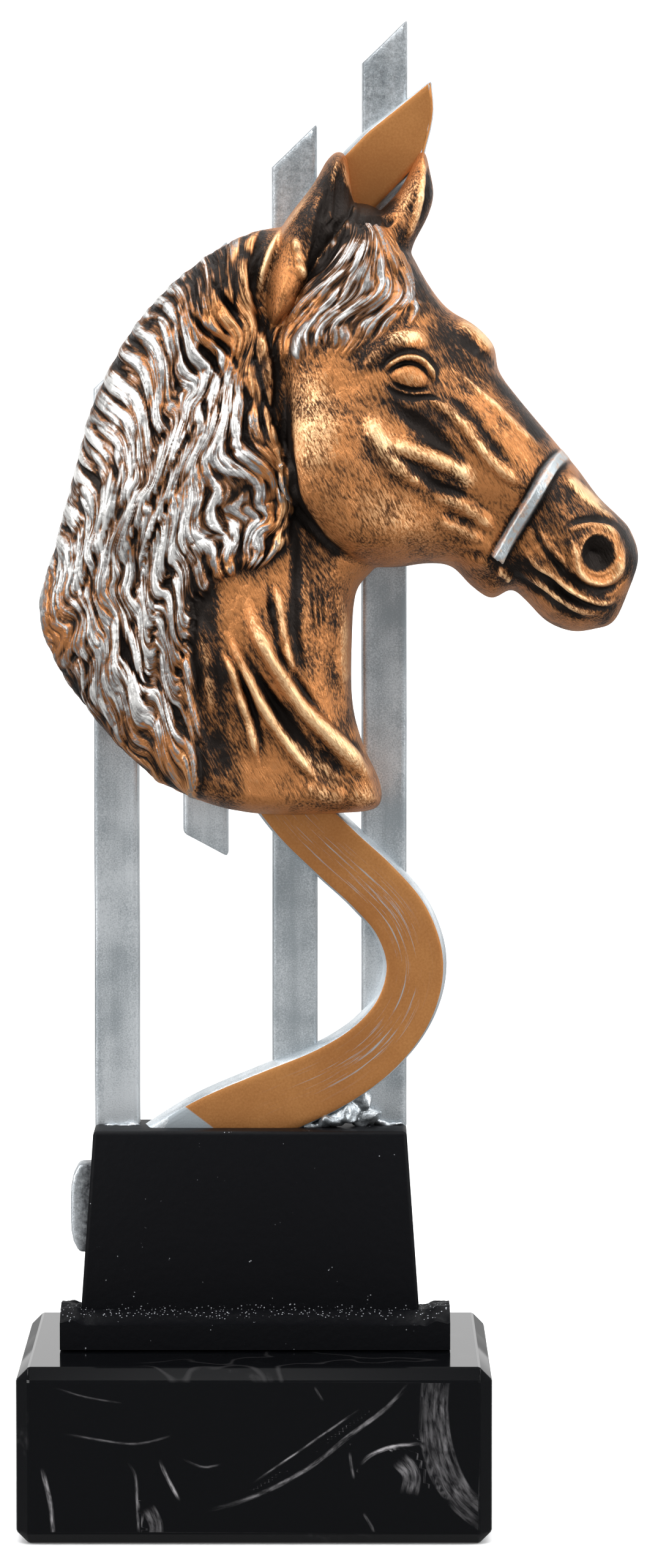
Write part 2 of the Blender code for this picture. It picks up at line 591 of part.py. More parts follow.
def flange():
    """The low part of the foot. Its top slopes up to the block and its ends are lumpy, as cast."""
    low = BASE_HEIGHT + GLUE_GAP
    bm = bmesh.new()
    bmesh.ops.create_grid(bm, x_segments=FLANGE_COLUMNS, y_segments=FLANGE_ROWS, size=0.5)
    for vert in bm.verts:
        x, y = vert.co.x * FLANGE_WIDTH, vert.co.y * FLANGE_DEPTH
        shelf = (FLANGE_DEPTH - FOOT_DEPTH) / 2
        inward = float(smoothstep(FLANGE_DEPTH / 2 - abs(y), 0, shelf))
        end = float(smoothstep(abs(x), FLANGE_WIDTH / 2 - 2 * FLANGE_LUMP, FLANGE_WIDTH / 2 - FLANGE_LUMP))
        rough = 0.5 + 0.5 * noise.noise(Vector((x, y, 0)) * 420)
        rise = FLANGE_SLOPE * inward + FLANGE_LUMP * end * rough * (y > -FOOT_DEPTH / 2)
        vert.co = (x, y, low + FLANGE_HEIGHT + rise)
    top = bm.verts[:]
    bmesh.ops.solidify(bm, geom=bm.faces[:], thickness=FLANGE_HEIGHT)
    for vert in set(bm.verts) - set(top):
        vert.co.z = low
    under = [f for f in bm.faces if all(v.co.z < low + 1e-7 for v in f.verts)]
    bmesh.ops.dissolve_faces(bm, faces=under)
    return object_of("flange", bm)


def block():
    """The tapered part of the foot."""
    bm = box(FOOT_BOTTOM_WIDTH, FOOT_DEPTH, FOOT_TOP - FOOT_HEIGHT - CAST_OVERLAP, FOOT_TOP)
    crown = [v for v in bm.verts if v.co.z > FOOT_TOP - 1e-6]
    bmesh.ops.scale(bm, vec=(FOOT_TOP_WIDTH / FOOT_BOTTOM_WIDTH, 1, 1), verts=crown)
    bevel_edges(bm, bm.edges[:], FOOT_EDGE)
    return object_of("block", bm)


def resin_casting():
    """Foot, bars, ribbon and head joined into the one solid that they are cast as."""
    casting = object_of("resin_casting", horse_head())
    parts = [flange(), block(), *bars(), ribbon()]
    for piece in parts:
        join = casting.modifiers.new("join_" + piece.name, "BOOLEAN")
        join.operation = "UNION"
        join.solver = "EXACT"
        join.object = piece
    mesh = finished_mesh(casting)
    for piece in parts:
        bpy.data.objects.remove(piece, do_unlink=True)
    made = object_of("resin_casting", mesh)
    mesh.materials.clear()
    mesh.materials.append(material("painted resin", (0.55, 0.30, 0.13), 0.38, 0.85))
    mesh.shade_smooth()
    mesh.set_sharp_from_angle(angle=math.radians(35))
    return made


def marble_base():
    bm = box(BASE_WIDTH, BASE_DEPTH, 0, BASE_HEIGHT)
    bevel_edges(bm, bm.edges[:], BASE_CHAMFER)
    made = object_of("marble_base", bm)
    made.data.materials.append(material("black marble", (0.012, 0.012, 0.014), 0.12, 0.0))
    return made


clear_scene()
marble_base()
resin_casting()
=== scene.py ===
# %% [markdown]
# # A horse head award in cast resin
# The real thing is two pieces: a polished black marble block, and one resin casting glued on top of it.
# The casting is painted four ways: antique bronze on the horse, copper on the ribbon, silver on the bars
# and the mane, and satin black on the foot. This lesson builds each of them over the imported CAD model.

# %% Load the frame
import math
import time

import bmesh
import bpy
import numpy as np
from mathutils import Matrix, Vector, noise


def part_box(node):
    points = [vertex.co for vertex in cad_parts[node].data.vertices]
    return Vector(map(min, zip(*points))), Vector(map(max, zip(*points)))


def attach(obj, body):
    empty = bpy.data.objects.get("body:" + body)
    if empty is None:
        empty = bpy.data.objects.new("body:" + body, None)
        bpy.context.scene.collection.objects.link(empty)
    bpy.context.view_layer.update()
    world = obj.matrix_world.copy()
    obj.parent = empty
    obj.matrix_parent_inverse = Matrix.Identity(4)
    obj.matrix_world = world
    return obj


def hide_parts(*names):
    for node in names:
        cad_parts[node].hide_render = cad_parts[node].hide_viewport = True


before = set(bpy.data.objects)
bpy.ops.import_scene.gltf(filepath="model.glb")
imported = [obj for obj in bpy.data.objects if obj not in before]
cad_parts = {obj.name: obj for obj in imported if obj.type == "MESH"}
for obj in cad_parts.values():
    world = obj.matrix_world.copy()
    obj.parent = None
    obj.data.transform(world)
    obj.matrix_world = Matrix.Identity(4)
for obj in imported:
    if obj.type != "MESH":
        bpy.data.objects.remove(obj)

STARTED = time.time()
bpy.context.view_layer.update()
marble_low, marble_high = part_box("marble_base")
casting_low, casting_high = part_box("resin_casting")
print("frame", [round(v, 4) for v in (*marble_high, *casting_high)])

# %% [markdown]
# ## Camera and room
# The photograph looks at the trophy from a metre away and a little above, through a long lens. The object
# stands on white, so the floor sweeps up into a wall behind it with no edge to see. Large soft lights stand
# on both sides and above, which gives metal paint broad highlights, and dark gaps between them. One more, low
# and far behind, is seen in reflections only: it lays the pale sheen on the top of the polished stone.

# %% Camera
CAMERA_PLACE = (0.0126, -1.061, 0.212)
CAMERA_TILT_DOWN = 4.64
CAMERA_LENS = 142.9
CAMERA_SENSOR = 36.0

camera_data = bpy.data.cameras.new("camera")
camera_data.lens = CAMERA_LENS
camera_data.sensor_width = CAMERA_SENSOR
camera = bpy.data.objects.new("camera", camera_data)
camera.location = CAMERA_PLACE
camera.rotation_euler = (math.radians(90 - CAMERA_TILT_DOWN), 0, 0)
bpy.context.scene.collection.objects.link(camera)
bpy.context.scene.camera = camera
bpy.context.scene.view_settings.view_transform = "Standard"
print("camera", round(-CAMERA_PLACE[1], 2), "m in front, with a lens of", CAMERA_LENS, "mm")

# %% Helpers that make objects


def bevelled(bm, geom, offset, segments=2, affect="EDGES"):
    """Bevels the edges, or the corners where affect is VERTICES."""
    bmesh.ops.bevel(
        bm, geom=geom, offset=offset, offset_type="OFFSET", segments=segments, profile=0.5, affect=affect,
        material=-1,
    )


def extruded(bm, faces):
    """Extrudes the faces on the spot, and gives the new corners, to be moved."""
    made = bmesh.ops.extrude_face_region(bm, geom=faces)["geom"]
    return [g for g in made if isinstance(g, bmesh.types.BMVert)]


def sharp_edges(bm, angle):
    """The edges where two faces meet at more than the angle, in radians."""
    bmesh.ops.recalc_face_normals(bm, faces=bm.faces)
    return [e for e in bm.edges if len(e.link_faces) == 2 and e.calc_face_angle() > angle]


def new_object(name, bm_or_mesh, smooth_angle=None):
    """A new object in the scene from a bmesh or a mesh, smooth where faces meet under the angle."""
    mesh = bm_or_mesh
    if isinstance(bm_or_mesh, bmesh.types.BMesh):
        bmesh.ops.recalc_face_normals(bm_or_mesh, faces=bm_or_mesh.faces)
        mesh = bpy.data.meshes.new(name)
        bm_or_mesh.to_mesh(mesh)
        bm_or_mesh.free()
    made = bpy.data.objects.new(name, mesh)
    bpy.context.scene.collection.objects.link(made)
    if smooth_angle is not None:
        mesh.shade_smooth()
        mesh.set_sharp_from_angle(angle=math.radians(smooth_angle))
    return made


def finished_mesh(obj):
    """The object's mesh with its modifiers applied. The object itself is removed."""
    bpy.context.view_layer.update()
    graph = bpy.context.evaluated_depsgraph_get()
    mesh = bpy.data.meshes.new_from_object(obj.evaluated_get(graph))
    bpy.data.objects.remove(obj, do_unlink=True)
    return mesh


def dress(piece, node, slot, *materials):
    """Gives a piece its materials, hangs it on the root body, and hides the CAD part that it stands for."""
    for material in materials:
        piece.data.materials.append(material)
    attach(piece, "root")
    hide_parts(node)
    print(piece.name, len(piece.data.polygons), "faces")
    return piece


# %% Floor that sweeps up into a wall
FLOOR_HALF_WIDTH = 3.0
FLOOR_FRONT = -2.6
WALL_Y = 2.2
WALL_HEIGHT = 3.0
SWEEP = 0.9
SWEEP_SEGMENTS = 16
PAPER = (0.86, 0.865, 0.87, 1)
PAPER_ROUGHNESS = 0.85

bm = bmesh.new()
corners = [bm.verts.new((0, y, z)) for y, z in ((FLOOR_FRONT, 0), (WALL_Y, 0), (WALL_Y, WALL_HEIGHT))]
for pair in zip(corners, corners[1:]):
    bm.edges.new(pair)
bevelled(bm, [corners[1]], SWEEP, SWEEP_SEGMENTS, "VERTICES")
bmesh.ops.translate(bm, vec=(-FLOOR_HALF_WIDTH, 0, 0), verts=bm.verts)
swept = bmesh.ops.extrude_edge_only(bm, edges=bm.edges[:])["geom"]
bmesh.ops.translate(
    bm, vec=(2 * FLOOR_HALF_WIDTH, 0, 0), verts=[g for g in swept if isinstance(g, bmesh.types.BMVert)]
)
backdrop = new_object("backdrop", bm, 60)
if any(p.normal.z < -1e-4 or p.normal.y > 1e-4 for p in backdrop.data.polygons):
    backdrop.data.flip_normals()
paper = bpy.data.materials.new("white paper")
paper.use_nodes = True
paper.node_tree.nodes["Principled BSDF"].inputs["Base Color"].default_value = PAPER
paper.node_tree.nodes["Principled BSDF"].inputs["Roughness"].default_value = PAPER_ROUGHNESS
backdrop.data.materials.append(paper)
backdrop.visible_glossy = False
print("backdrop", len(backdrop.data.polygons), "faces")

# %% Lights
AIM = Vector((0.012, 0.0, 0.15))
WALL_LIGHT_TURN = 38
WORLD_STRENGTH = 0.36


def soft_light(name, place, width, height, watts, colour=(1, 1, 1)):
    """A rectangular light that faces the trophy."""
    data = bpy.data.lights.new(name, "AREA")
    data.shape = "RECTANGLE"
    data.size, data.size_y = width, height
    data.energy = watts
    data.color = colour
    light = bpy.data.objects.new(name, data)
    light.location = place
    light.rotation_euler = (AIM - Vector(place)).to_track_quat("-Z", "Y").to_euler()
    bpy.context.scene.collection.objects.link(light)
    return light


soft_light("left_box", (-0.80, -0.50, 0.50), 0.35, 1.0, 9)
soft_light("right_box", (0.80, -0.35, 0.45), 0.30, 1.0, 8)
soft_light("top_box", (0.0, -0.48, 1.10), 1.0, 0.5, 9)
wall_light = soft_light("wall_light", (0.0, 0.55, 1.5), 2.4, 1.0, 42)
wall_light.rotation_euler = (math.radians(WALL_LIGHT_TURN), 0, 0)
low_back_box = soft_light("low_back_box", (0.0, 1.60, 0.42), 3.0, 0.7, 6)
low_back_box.visible_camera = False

world = bpy.data.worlds.new("studio")
bpy.context.scene.world = world
world.use_nodes = True
world.node_tree.nodes["Background"].inputs["Color"].default_value = (1, 1, 1, 1)
world.node_tree.nodes["Background"].inputs["Strength"].default_value = WORLD_STRENGTH
print("lights", len(bpy.data.lights))

# %% [markdown]
# ## A drawing to carve from
# The horse was modelled by eye in wax, in relief. Here it starts as a drawing in the plane of the picture,
# in millimetres, with x to the right and z up. Soft curves through a few points give the outlines, and a fine
# grid over the drawing holds how high the carving stands at each place. Working on a grid means that every
# fold, lock and groove is one short call, and that the same grid can say where paint collects.

# %% The grid
DRAWING = 0.001
DRAWING_LIFT = 0.0003
STEP = 0.2
X_RANGE = (-44.0, 70.0)
Z_RANGE = (116.0, 238.0)
COLUMNS = round((X_RANGE[1] - X_RANGE[0]) / STEP) + 1
ROWS = round((Z_RANGE[1] - Z_RANGE[0]) / STEP) + 1
AXES = (np.linspace(*X_RANGE, COLUMNS), np.linspace(*Z_RANGE, ROWS))
GRID = np.stack(np.meshgrid(*AXES), axis=-1).reshape(-1, 2)
print("grid", COLUMNS, "by", ROWS)

# %% Curves and distances


def smooth_line(points, closed=False, per_span=6):
    """A Catmull-Rom curve through the points."""
    p = np.array(points, float)
    if closed:
        p = np.vstack([p[-1], p, p[:2]])
    else:
        p = np.vstack([2 * p[0] - p[1], p, 2 * p[-1] - p[-2]])
    t = np.linspace(0, 1, per_span, endpoint=False)[:, None]
    spans = []
    for a, b, c, d in zip(p, p[1:], p[2:], p[3:]):
        bend = 2 * a - 5 * b + 4 * c - d
        twist = 3 * b - a - 3 * c + d
        spans.append(0.5 * (2 * b + (c - a) * t + bend * t**2 + twist * t**3))
    line = np.vstack(spans)
    return line if closed else np.vstack([line, p[-2]])


def evenly(line, count):
    """The same line, with count points evenly spaced along it."""
    lengths = np.hypot(*np.diff(line, axis=0).T)
    at = np.concatenate([[0], np.cumsum(lengths)])
    wanted = np.linspace(0, at[-1], count)
    return np.column_stack([np.interp(wanted, at, line[:, k]) for k in (0, 1)])


def smoothstep(value, low, high):
    """Rises smoothly from 0 to 1 while the value goes from low to high."""
    t = np.clip((value - low) / (high - low), 0, 1)
    return t * t * (3 - 2 * t)


def faded(along, fade):
    """A share that is 1 in the middle of a line and falls to nothing at both ends."""
    return smoothstep(along, -0.001, fade) * smoothstep(1 - along, -0.001, fade)


def nearest_on_line(points, line):
    """Distance to the line, share of its length there, and on which side the point lies."""
    step = np.diff(line, axis=0)
    lengths = np.maximum(np.hypot(step[:, 0], step[:, 1]), 1e-9)
    starts = np.concatenate([[0], np.cumsum(lengths)])
    best = np.full(len(points), np.inf)
    along = np.zeros(len(points))
    side = np.ones(len(points))
    for i, start in enumerate(line[:-1]):
        rel = points - start
        t = np.clip(rel @ step[i] / lengths[i] ** 2, 0, 1)
        off = rel - t[:, None] * step[i]
        dist = np.hypot(off[:, 0], off[:, 1])
        closer = dist < best
        best[closer] = dist[closer]
        along[closer] = (starts[i] + t[closer] * lengths[i]) / starts[-1]
        side[closer] = np.sign(step[i, 0] * rel[closer, 1] - step[i, 1] * rel[closer, 0])
    return best, along, side


def inside(points, line):
    """Which points lie within a closed line."""
    x, z = points.T
    odd = np.zeros(len(points), bool)
    for (ax, az), (bx, bz) in zip(line, np.roll(line, -1, axis=0)):
        if az != bz:
            crosses = (az > z) != (bz > z)
            odd ^= crosses & (x < (bx - ax) * (z - az) / (bz - az) + ax)
    return odd


# %% Marks on the grid
STROKE_END_WIDTH = 0.45
LEAST_PRESSED = 0.7
PRESSED_RANGE = 0.6
PRESSED_CYCLES = 8
NOISE_TABLE = 256


def cells_near(line, margin):
    """The grid's points within the line's box, as places in the flat list."""
    low, high = line.min(axis=0) - margin, line.max(axis=0) + margin
    c0, c1 = (int(np.clip((v - X_RANGE[0]) / STEP, 0, COLUMNS - 1)) for v in (low[0], high[0]))
    r0, r1 = (int(np.clip((v - Z_RANGE[0]) / STEP, 0, ROWS - 1)) for v in (low[1], high[1]))
    rows, cols = np.meshgrid(np.arange(r0, r1 + 1), np.arange(c0, c1 + 1), indexing="ij")
    return (rows * COLUMNS + cols).ravel()


def stroke(height, path, half, rise, fade=0.3, power=1.5):
    """A rounded ridge along a path, or a groove where rise is negative, narrowing towards both ends."""
    line = smooth_line(path)
    found = cells_near(line, half)
    dist, along, _ = nearest_on_line(GRID[found], line)
    ends = faded(along, fade) if fade else np.ones(len(found))
    reach = half * (STROKE_END_WIDTH + (1 - STROKE_END_WIDTH) * ends)
    pressed = LEAST_PRESSED + PRESSED_RANGE * soft_noise(PRESSED_CYCLES * along + 11 * half, 0 * along, 71)
    height[found] += rise * pressed * ends * np.clip(1 - (dist / reach) ** 2, 0, 1) ** power


def dome(height, centre, radii, rise, tilt=0.0, power=1.5):
    """A rounded swelling on an ellipse, or a hollow where rise is negative."""
    c, s = math.cos(math.radians(tilt)), math.sin(math.radians(tilt))
    x, z = (GRID - np.array(centre)).T
    q = ((c * x + s * z) / radii[0]) ** 2 + ((c * z - s * x) / radii[1]) ** 2
    height += rise * np.clip(1 - q, 0, 1) ** power


def patches(field, rows, strength=1.0):
    """Soft oval patches that raise the field: where, how large, how much, and the tilt."""
    for centre, radii, amount, tilt in rows:
        dome(field, centre, radii, amount * strength, tilt, 1.0)


def reach_inside(outline):
    """Distance inside a closed outline, negative outside."""
    line = smooth_line(outline, closed=True)
    dist, _, _ = nearest_on_line(GRID, np.vstack([line, line[:1]]))
    return np.where(inside(GRID, line), dist, -dist)


def soft_noise(x, z, seed):
    """Smooth random values from 0 to 1, that change over a distance of one."""
    table = np.random.RandomState(seed).rand(NOISE_TABLE, NOISE_TABLE)
    i, j = np.floor(x).astype(int), np.floor(z).astype(int)
    u, v = x - i, z - j
    u, v = u * u * (3 - 2 * u), v * v * (3 - 2 * v)
    i, j = i % NOISE_TABLE, j % NOISE_TABLE
    k, m = (i + 1) % NOISE_TABLE, (j + 1) % NOISE_TABLE
    low = table[i, j] * (1 - u) + table[k, j] * u
    high = table[i, m] * (1 - u) + table[k, m] * u
    return low * (1 - v) + high * v


def blur(field, width):
    """The field averaged three times over squares of this width, which is close to a Gaussian."""
    n = max(1, int(width / STEP / 2))
    out = field.reshape(ROWS, COLUMNS)
    for axis in (0, 1) * 3:
        size = out.shape[axis]
        first, last = out.take([0], axis), out.take([-1], axis)
        padded = np.concatenate([np.repeat(first, n + 1, axis), out, np.repeat(last, n, axis)], axis)
        total = np.cumsum(padded, axis=axis)
        ahead, behind = total.take(range(2 * n + 1, 2 * n + 1 + size), axis), total.take(range(size), axis)
        out = (ahead - behind) / (2 * n + 1)
    return out.ravel()


def read_field(field, points):
    """The field at any points, read between the grid's own."""
    c = np.clip((points[:, 0] - X_RANGE[0]) / STEP, 0, COLUMNS - 1.001)
    r = np.clip((points[:, 1] - Z_RANGE[0]) / STEP, 0, ROWS - 1.001)
    i, j = r.astype(int), c.astype(int)
    u, v = c - j, r - i
    f = field.reshape(ROWS, COLUMNS)
    low = f[i, j] * (1 - u) + f[i, j + 1] * u
    return low * (1 - v) + (f[i + 1, j] * (1 - u) + f[i + 1, j + 1] * u) * v


# %% [markdown]
# ## The mane and the forelock
# The real mane is cut with a wire tool in long waving strokes that part, cross and curl. Drawing thousands
# of hairs by hand would be slow, so a few guides are drawn, and a sheet is stretched between them. Every
# point of the grid is then told which hair it lies on and how far along, with waves and curls combed in.
# Tapering locks are laid along the sheet, and strands of two or three sizes are cut into them, which follow
# the same combing.

# %% Guides from root to tip
MANE_GUIDES = (
    ((3.5, 223), (0.3, 212), (1.2, 203.5), (2.2, 195.5), (3.4, 187), (5.8, 180), (6.6, 173), (5.2, 167),
     (2.4, 162)),
    ((-3.5, 222), (-4.2, 211), (-1.3, 203), (-2.3, 195), (-2.3, 187), (1.4, 181), (3, 175), (1, 169),
     (-2, 161)),
    ((-9.5, 219), (-9, 208), (-5, 200.5), (-5, 193.5), (-6.5, 187), (-8.8, 181.5), (-8.8, 175),
     (-8.4, 168), (-4, 159)),
    ((-16.5, 214), (-13.5, 204), (-10, 196.5), (-10.2, 189.5), (-11.6, 183), (-13, 176.5), (-12.8, 169.5),
     (-11.5, 162.5), (-8.4, 153)),
    ((-22.8, 208.5), (-18.5, 198), (-15.5, 190), (-14.6, 183.5), (-16, 177), (-17, 170), (-18.2, 163),
     (-15.5, 155.5), (-12, 148), (-8, 138)),
    ((-28, 200.5), (-22.2, 190), (-19.5, 183), (-19.5, 176), (-21.8, 169), (-22.3, 162), (-19.4, 155),
     (-19, 148), (-16, 140), (-11.2, 132), (-7.6, 123)),
    ((-32.5, 191.5), (-26.8, 181), (-25, 173), (-26.4, 167), (-26, 160), (-23.5, 153), (-23.3, 146),
     (-20, 138), (-15, 130.5), (-11, 121.5)),
    ((-36, 180), (-31, 170), (-30, 163), (-29.3, 156.5), (-27.4, 150), (-26.2, 143), (-23.4, 136),
     (-19, 129), (-15, 120.5)),
    ((-41, 169), (-38, 161), (-36, 155), (-33.5, 149), (-31.5, 143), (-28.5, 137), (-24.5, 130.5),
     (-19, 120)),
    ((-46, 164), (-45, 155), (-42, 148), (-39, 141), (-34, 133), (-29, 126), (-23, 118.5)),
)
FORELOCK_GUIDES = (
    ((21.5, 221), (23.4, 217.6), (25.7, 213), (28, 208.9), (28.8, 205.2), (27.6, 203.2)),
    ((20.6, 221), (22.3, 217.6), (24, 213), (25.1, 208.9), (23.4, 205.5), (20.5, 202.6), (17.7, 199.1)),
    ((19.4, 221), (20.5, 218.2), (21.1, 214.1), (20, 210.1), (17.1, 206.1), (14.2, 202.6), (12.6, 198.6)),
    ((18.2, 221), (18.8, 218.2), (17.7, 213.6), (14.2, 209.5), (10.2, 205.5), (7.9, 201.5), (7.6, 196.6)),
    ((17, 221), (17.1, 218.2), (14.8, 213.6), (11.4, 210.1), (7.4, 206.1), (5.1, 202.6), (4.2, 199.1),
     (5.6, 195.4)),
    ((15.8, 221), (16, 218.8), (13.1, 214.1), (9.7, 210.7), (5.6, 207.2), (3.4, 203.8), (2.8, 200.3),
     (3.9, 196.8)),
)
MANE_EDGE = (
    (0.5, 222), (-1, 212), (-0.4, 206), (1.2, 201), (3, 197.5), (3.2, 190), (4, 184), (5.4, 178),
    (5.8, 172), (4.6, 167.6), (2, 165.2), (-0.5, 164.2), (-3, 163.4), (-6, 161.2), (-9.8, 158), (-11, 150),
    (-10.6, 144), (-10.2, 138), (-9.8, 131), (-10.8, 123), (-20, 118), (-45, 130), (-45, 200), (-25, 225),
)
FORELOCK_EDGE = (
    (14.5, 219.8), (10.9, 213.6), (7.2, 209), (3.6, 203.8), (3, 199.6), (4.8, 197.4), (8.4, 198.4),
    (11, 200.6), (14, 200), (17, 200.8), (20.6, 203.6), (25, 205.6), (28, 205.4), (28.6, 208), (26, 213),
    (23, 218.4), (19, 220.6),
)

print("guides", len(MANE_GUIDES), "in the mane and", len(FORELOCK_GUIDES), "in the forelock")

# %% Curls and deep cuts: where, how wide, and how strong
MANE_CURLS = (
    ((-11, 192.2), 5, 40), ((-5.6, 170.6), 6, -50), ((1.6, 170), 4.5, 50), ((-23, 161), 6.5, 40),
    ((-30.5, 156), 6, -35), ((-16.5, 150), 5, -35), ((-19, 177), 5, 35),
)
FORELOCK_CURLS = (((5.2, 198.6), 3.4, 60),)
MANE_CUTS = (
    (((-7, 211.5), (-5.2, 208.6), (-3, 205.6), (-1.2, 201.6)), 1.1, -1.6),
    (((-11.3, 207.2), (-8.8, 203.6), (-6, 201.2), (-3.6, 198.6), (-2, 194.6)), 1.3, -2),
    (((-11.2, 203), (-8.6, 199.6), (-6.2, 196.8), (-4.6, 192.4)), 1.2, -1.8),
    (((2.8, 181.8), (3.9, 178.6), (4.9, 174.2)), 0.9, -1.6),
    (((-6.6, 175.6), (-5.8, 172.4), (-4.2, 169), (-2.4, 166.8)), 1.3, -1.6),
)

# %% A sheet of hair between the guides
GUIDE_POINTS = 90
SHEET_COLUMNS = 60


def hair_sheet(guides):
    """Places on the drawing for every step across and along the hair."""
    table = np.stack([evenly(smooth_line(g), GUIDE_POINTS) for g in guides])
    return np.stack([smooth_line(table[:, k], per_span=SHEET_COLUMNS) for k in range(GUIDE_POINTS)], axis=1)


def on_sheet(sheet, across, along):
    """The places on the drawing at shares of the way across and along the hair."""
    i = np.clip(across, 0, 0.9999) * (sheet.shape[0] - 1)
    j = np.clip(along, 0, 0.9999) * (sheet.shape[1] - 1)
    a, b = i.astype(int), j.astype(int)
    u, v = (i - a)[:, None], (j - b)[:, None]
    low = sheet[a, b] * (1 - u) + sheet[a + 1, b] * u
    return low * (1 - v) + (sheet[a, b + 1] * (1 - u) + sheet[a + 1, b + 1] * u) * v


def curled(points, centre, reach, turn):
    """The points turned about a centre, most near it."""
    rel = points - np.array(centre)
    away = np.hypot(rel[:, 0], rel[:, 1])
    a = math.radians(turn) * np.clip(1 - away / reach, 0, 1) ** 2
    c, s = np.cos(a), np.sin(a)
    x, z = c * rel[:, 0] - s * rel[:, 1], s * rel[:, 0] + c * rel[:, 1]
    return np.column_stack([centre[0] + x, centre[1] + z])


# %% Combing: which hair each point of the grid lies on
COMB_SAMPLES = 900
COMB_BLUR = 0.6
COMB_GAP_BLUR = 9.0
COMB_ENOUGH = 0.02


def sway(across, along, wave):
    """How far the hair swings to the side, in smooth waves. Neighbours swing together."""
    size, cycles = wave
    phase = cycles * along + 1.2 * soft_noise(across * 4 + 9, along * cycles / 2 + 9, 2)
    uneven = 0.2 + soft_noise(across * 5 + 30, along * cycles / 2 + 30, 3)
    swing = 0.5 * np.sin(2 * math.pi * phase) * uneven
    drift = 2.0 * (soft_noise(across * 7 + 50, along * cycles + 50, 5) - 0.5)
    return size * (swing + drift)


def comb(guides, curls, wave):
    """For every point of the grid, its hair's share of the way across the sheet, and its share along it."""
    sheet = hair_sheet(guides)
    shares = np.meshgrid(np.linspace(0, 1, sheet.shape[0]), np.linspace(0, 1, COMB_SAMPLES), indexing="ij")
    across, along = (share.ravel() for share in shares)
    spots = on_sheet(sheet, across, along)
    column = np.round((spots[:, 0] - X_RANGE[0]) / STEP).astype(int)
    row = np.round((spots[:, 1] - Z_RANGE[0]) / STEP).astype(int)
    kept = (column >= 0) & (column < COLUMNS) & (row >= 0) & (row < ROWS)
    cell = (row * COLUMNS + column)[kept]
    found = np.bincount(cell, minlength=len(GRID)).astype(float)
    near, wide = blur(found, COMB_BLUR), blur(found, COMB_GAP_BLUR)
    combed = []
    points = GRID
    for centre, reach, turn in reversed(curls):
        points = curled(points, centre, reach, turn)
    for share in (across, along):
        total = np.bincount(cell, share[kept], len(GRID))
        close_by = blur(total, COMB_BLUR) / np.maximum(near, COMB_ENOUGH)
        in_gaps = blur(total, COMB_GAP_BLUR) / np.maximum(wide, 1e-6)
        combed.append(read_field(np.where(near > COMB_ENOUGH, close_by, in_gaps), points))
    return combed[0] - sway(*combed, wave), combed[1]


def strands(hairs, across, along, seed):
    """Rounded strands side by side, with sharp grooves between them that part and join along their length."""
    n = soft_noise(hairs[0] * across + seed, hairs[1] * along + seed, seed)
    return np.clip(1.7 * np.abs(2 * n - 1), 0, 1) ** 0.7


# %% Locks of hair
LOCK_POINTS = 22
LOCK_LENGTHS = (0.7, 1.35)
LOCK_WIDTHS = (0.75, 1.3)
LOCK_RISES = (0.6, 1.15)
LOCK_LEANS = (-0.9, 0.9)


def lock(height, line, width, rise):
    """A tapering lock along a line. Where locks cross, the higher one lies on top."""
    found = cells_near(line, width)
    dist, along, side = nearest_on_line(GRID[found], line)
    taper = np.sin(np.pi * np.clip(along, 0.001, 0.999) ** 0.8) ** 0.7
    across = dist / (width * taper)
    body = np.sqrt(np.clip(1 - across**2, 0, 1))
    height[found] = np.maximum(height[found], rise * body * (0.35 + 0.65 * taper))


def locks_of_hair(guides, curls, count, rows, length, width, rise, wave, seed):
    """Locks in rows over the whole sheet, every one a little different."""
    sheet = hair_sheet(guides)
    random = np.random.RandomState(seed)
    height = np.zeros(len(GRID))
    t = np.linspace(0, 1, LOCK_POINTS)
    for column in range(count):
        for row in range(rows):
            across = (column + random.uniform(-0.1, 1.1)) / count
            start = (row + random.uniform(-0.4, 0.6)) / rows - 0.5 * length
            along = start + length * random.uniform(*LOCK_LENGTHS) * t
            lean = random.uniform(*LOCK_LEANS) * (t - 0.5) / count
            line = on_sheet(sheet, across + sway(across + 0 * t, along, wave) + lean, along)
            for centre, reach, turn in curls:
                line = curled(line, centre, reach, -turn)
            lock(height, line, width * random.uniform(*LOCK_WIDTHS), rise * random.uniform(*LOCK_RISES))
    return height


# %% Mane and forelock: size and number of waves; rise, fineness across and along, and seed of strands
MANE_WAVE = (0.026, 6.5)
FORELOCK_WAVE = (0.045, 2.4)
MANE_STRANDS = ((0.35, 11, 7, 3), (0.38, 31, 11, 7), (0.48, 70, 20, 12))
FORELOCK_STRANDS = ((0.30, 15, 4, 5), (0.34, 40, 7, 6))

mane_reach = reach_inside(MANE_EDGE)
mane_hairs = comb(MANE_GUIDES, MANE_CURLS, MANE_WAVE)
mane = 0.2 + locks_of_hair(MANE_GUIDES, MANE_CURLS, 24, 9, 0.21, 1.4, 1.2, MANE_WAVE, 4)
for rise, *fineness in MANE_STRANDS:
    mane += rise * strands(mane_hairs, *fineness)
mane *= smoothstep(mane_reach + 0.9 * mane, -0.2, 2.2)
for path, half, rise in MANE_CUTS:
    stroke(mane, path, 0.8 * half, rise, 0.5)
mane = np.maximum(mane, 0)
mane_there = smoothstep(mane, 0.05, 0.6)

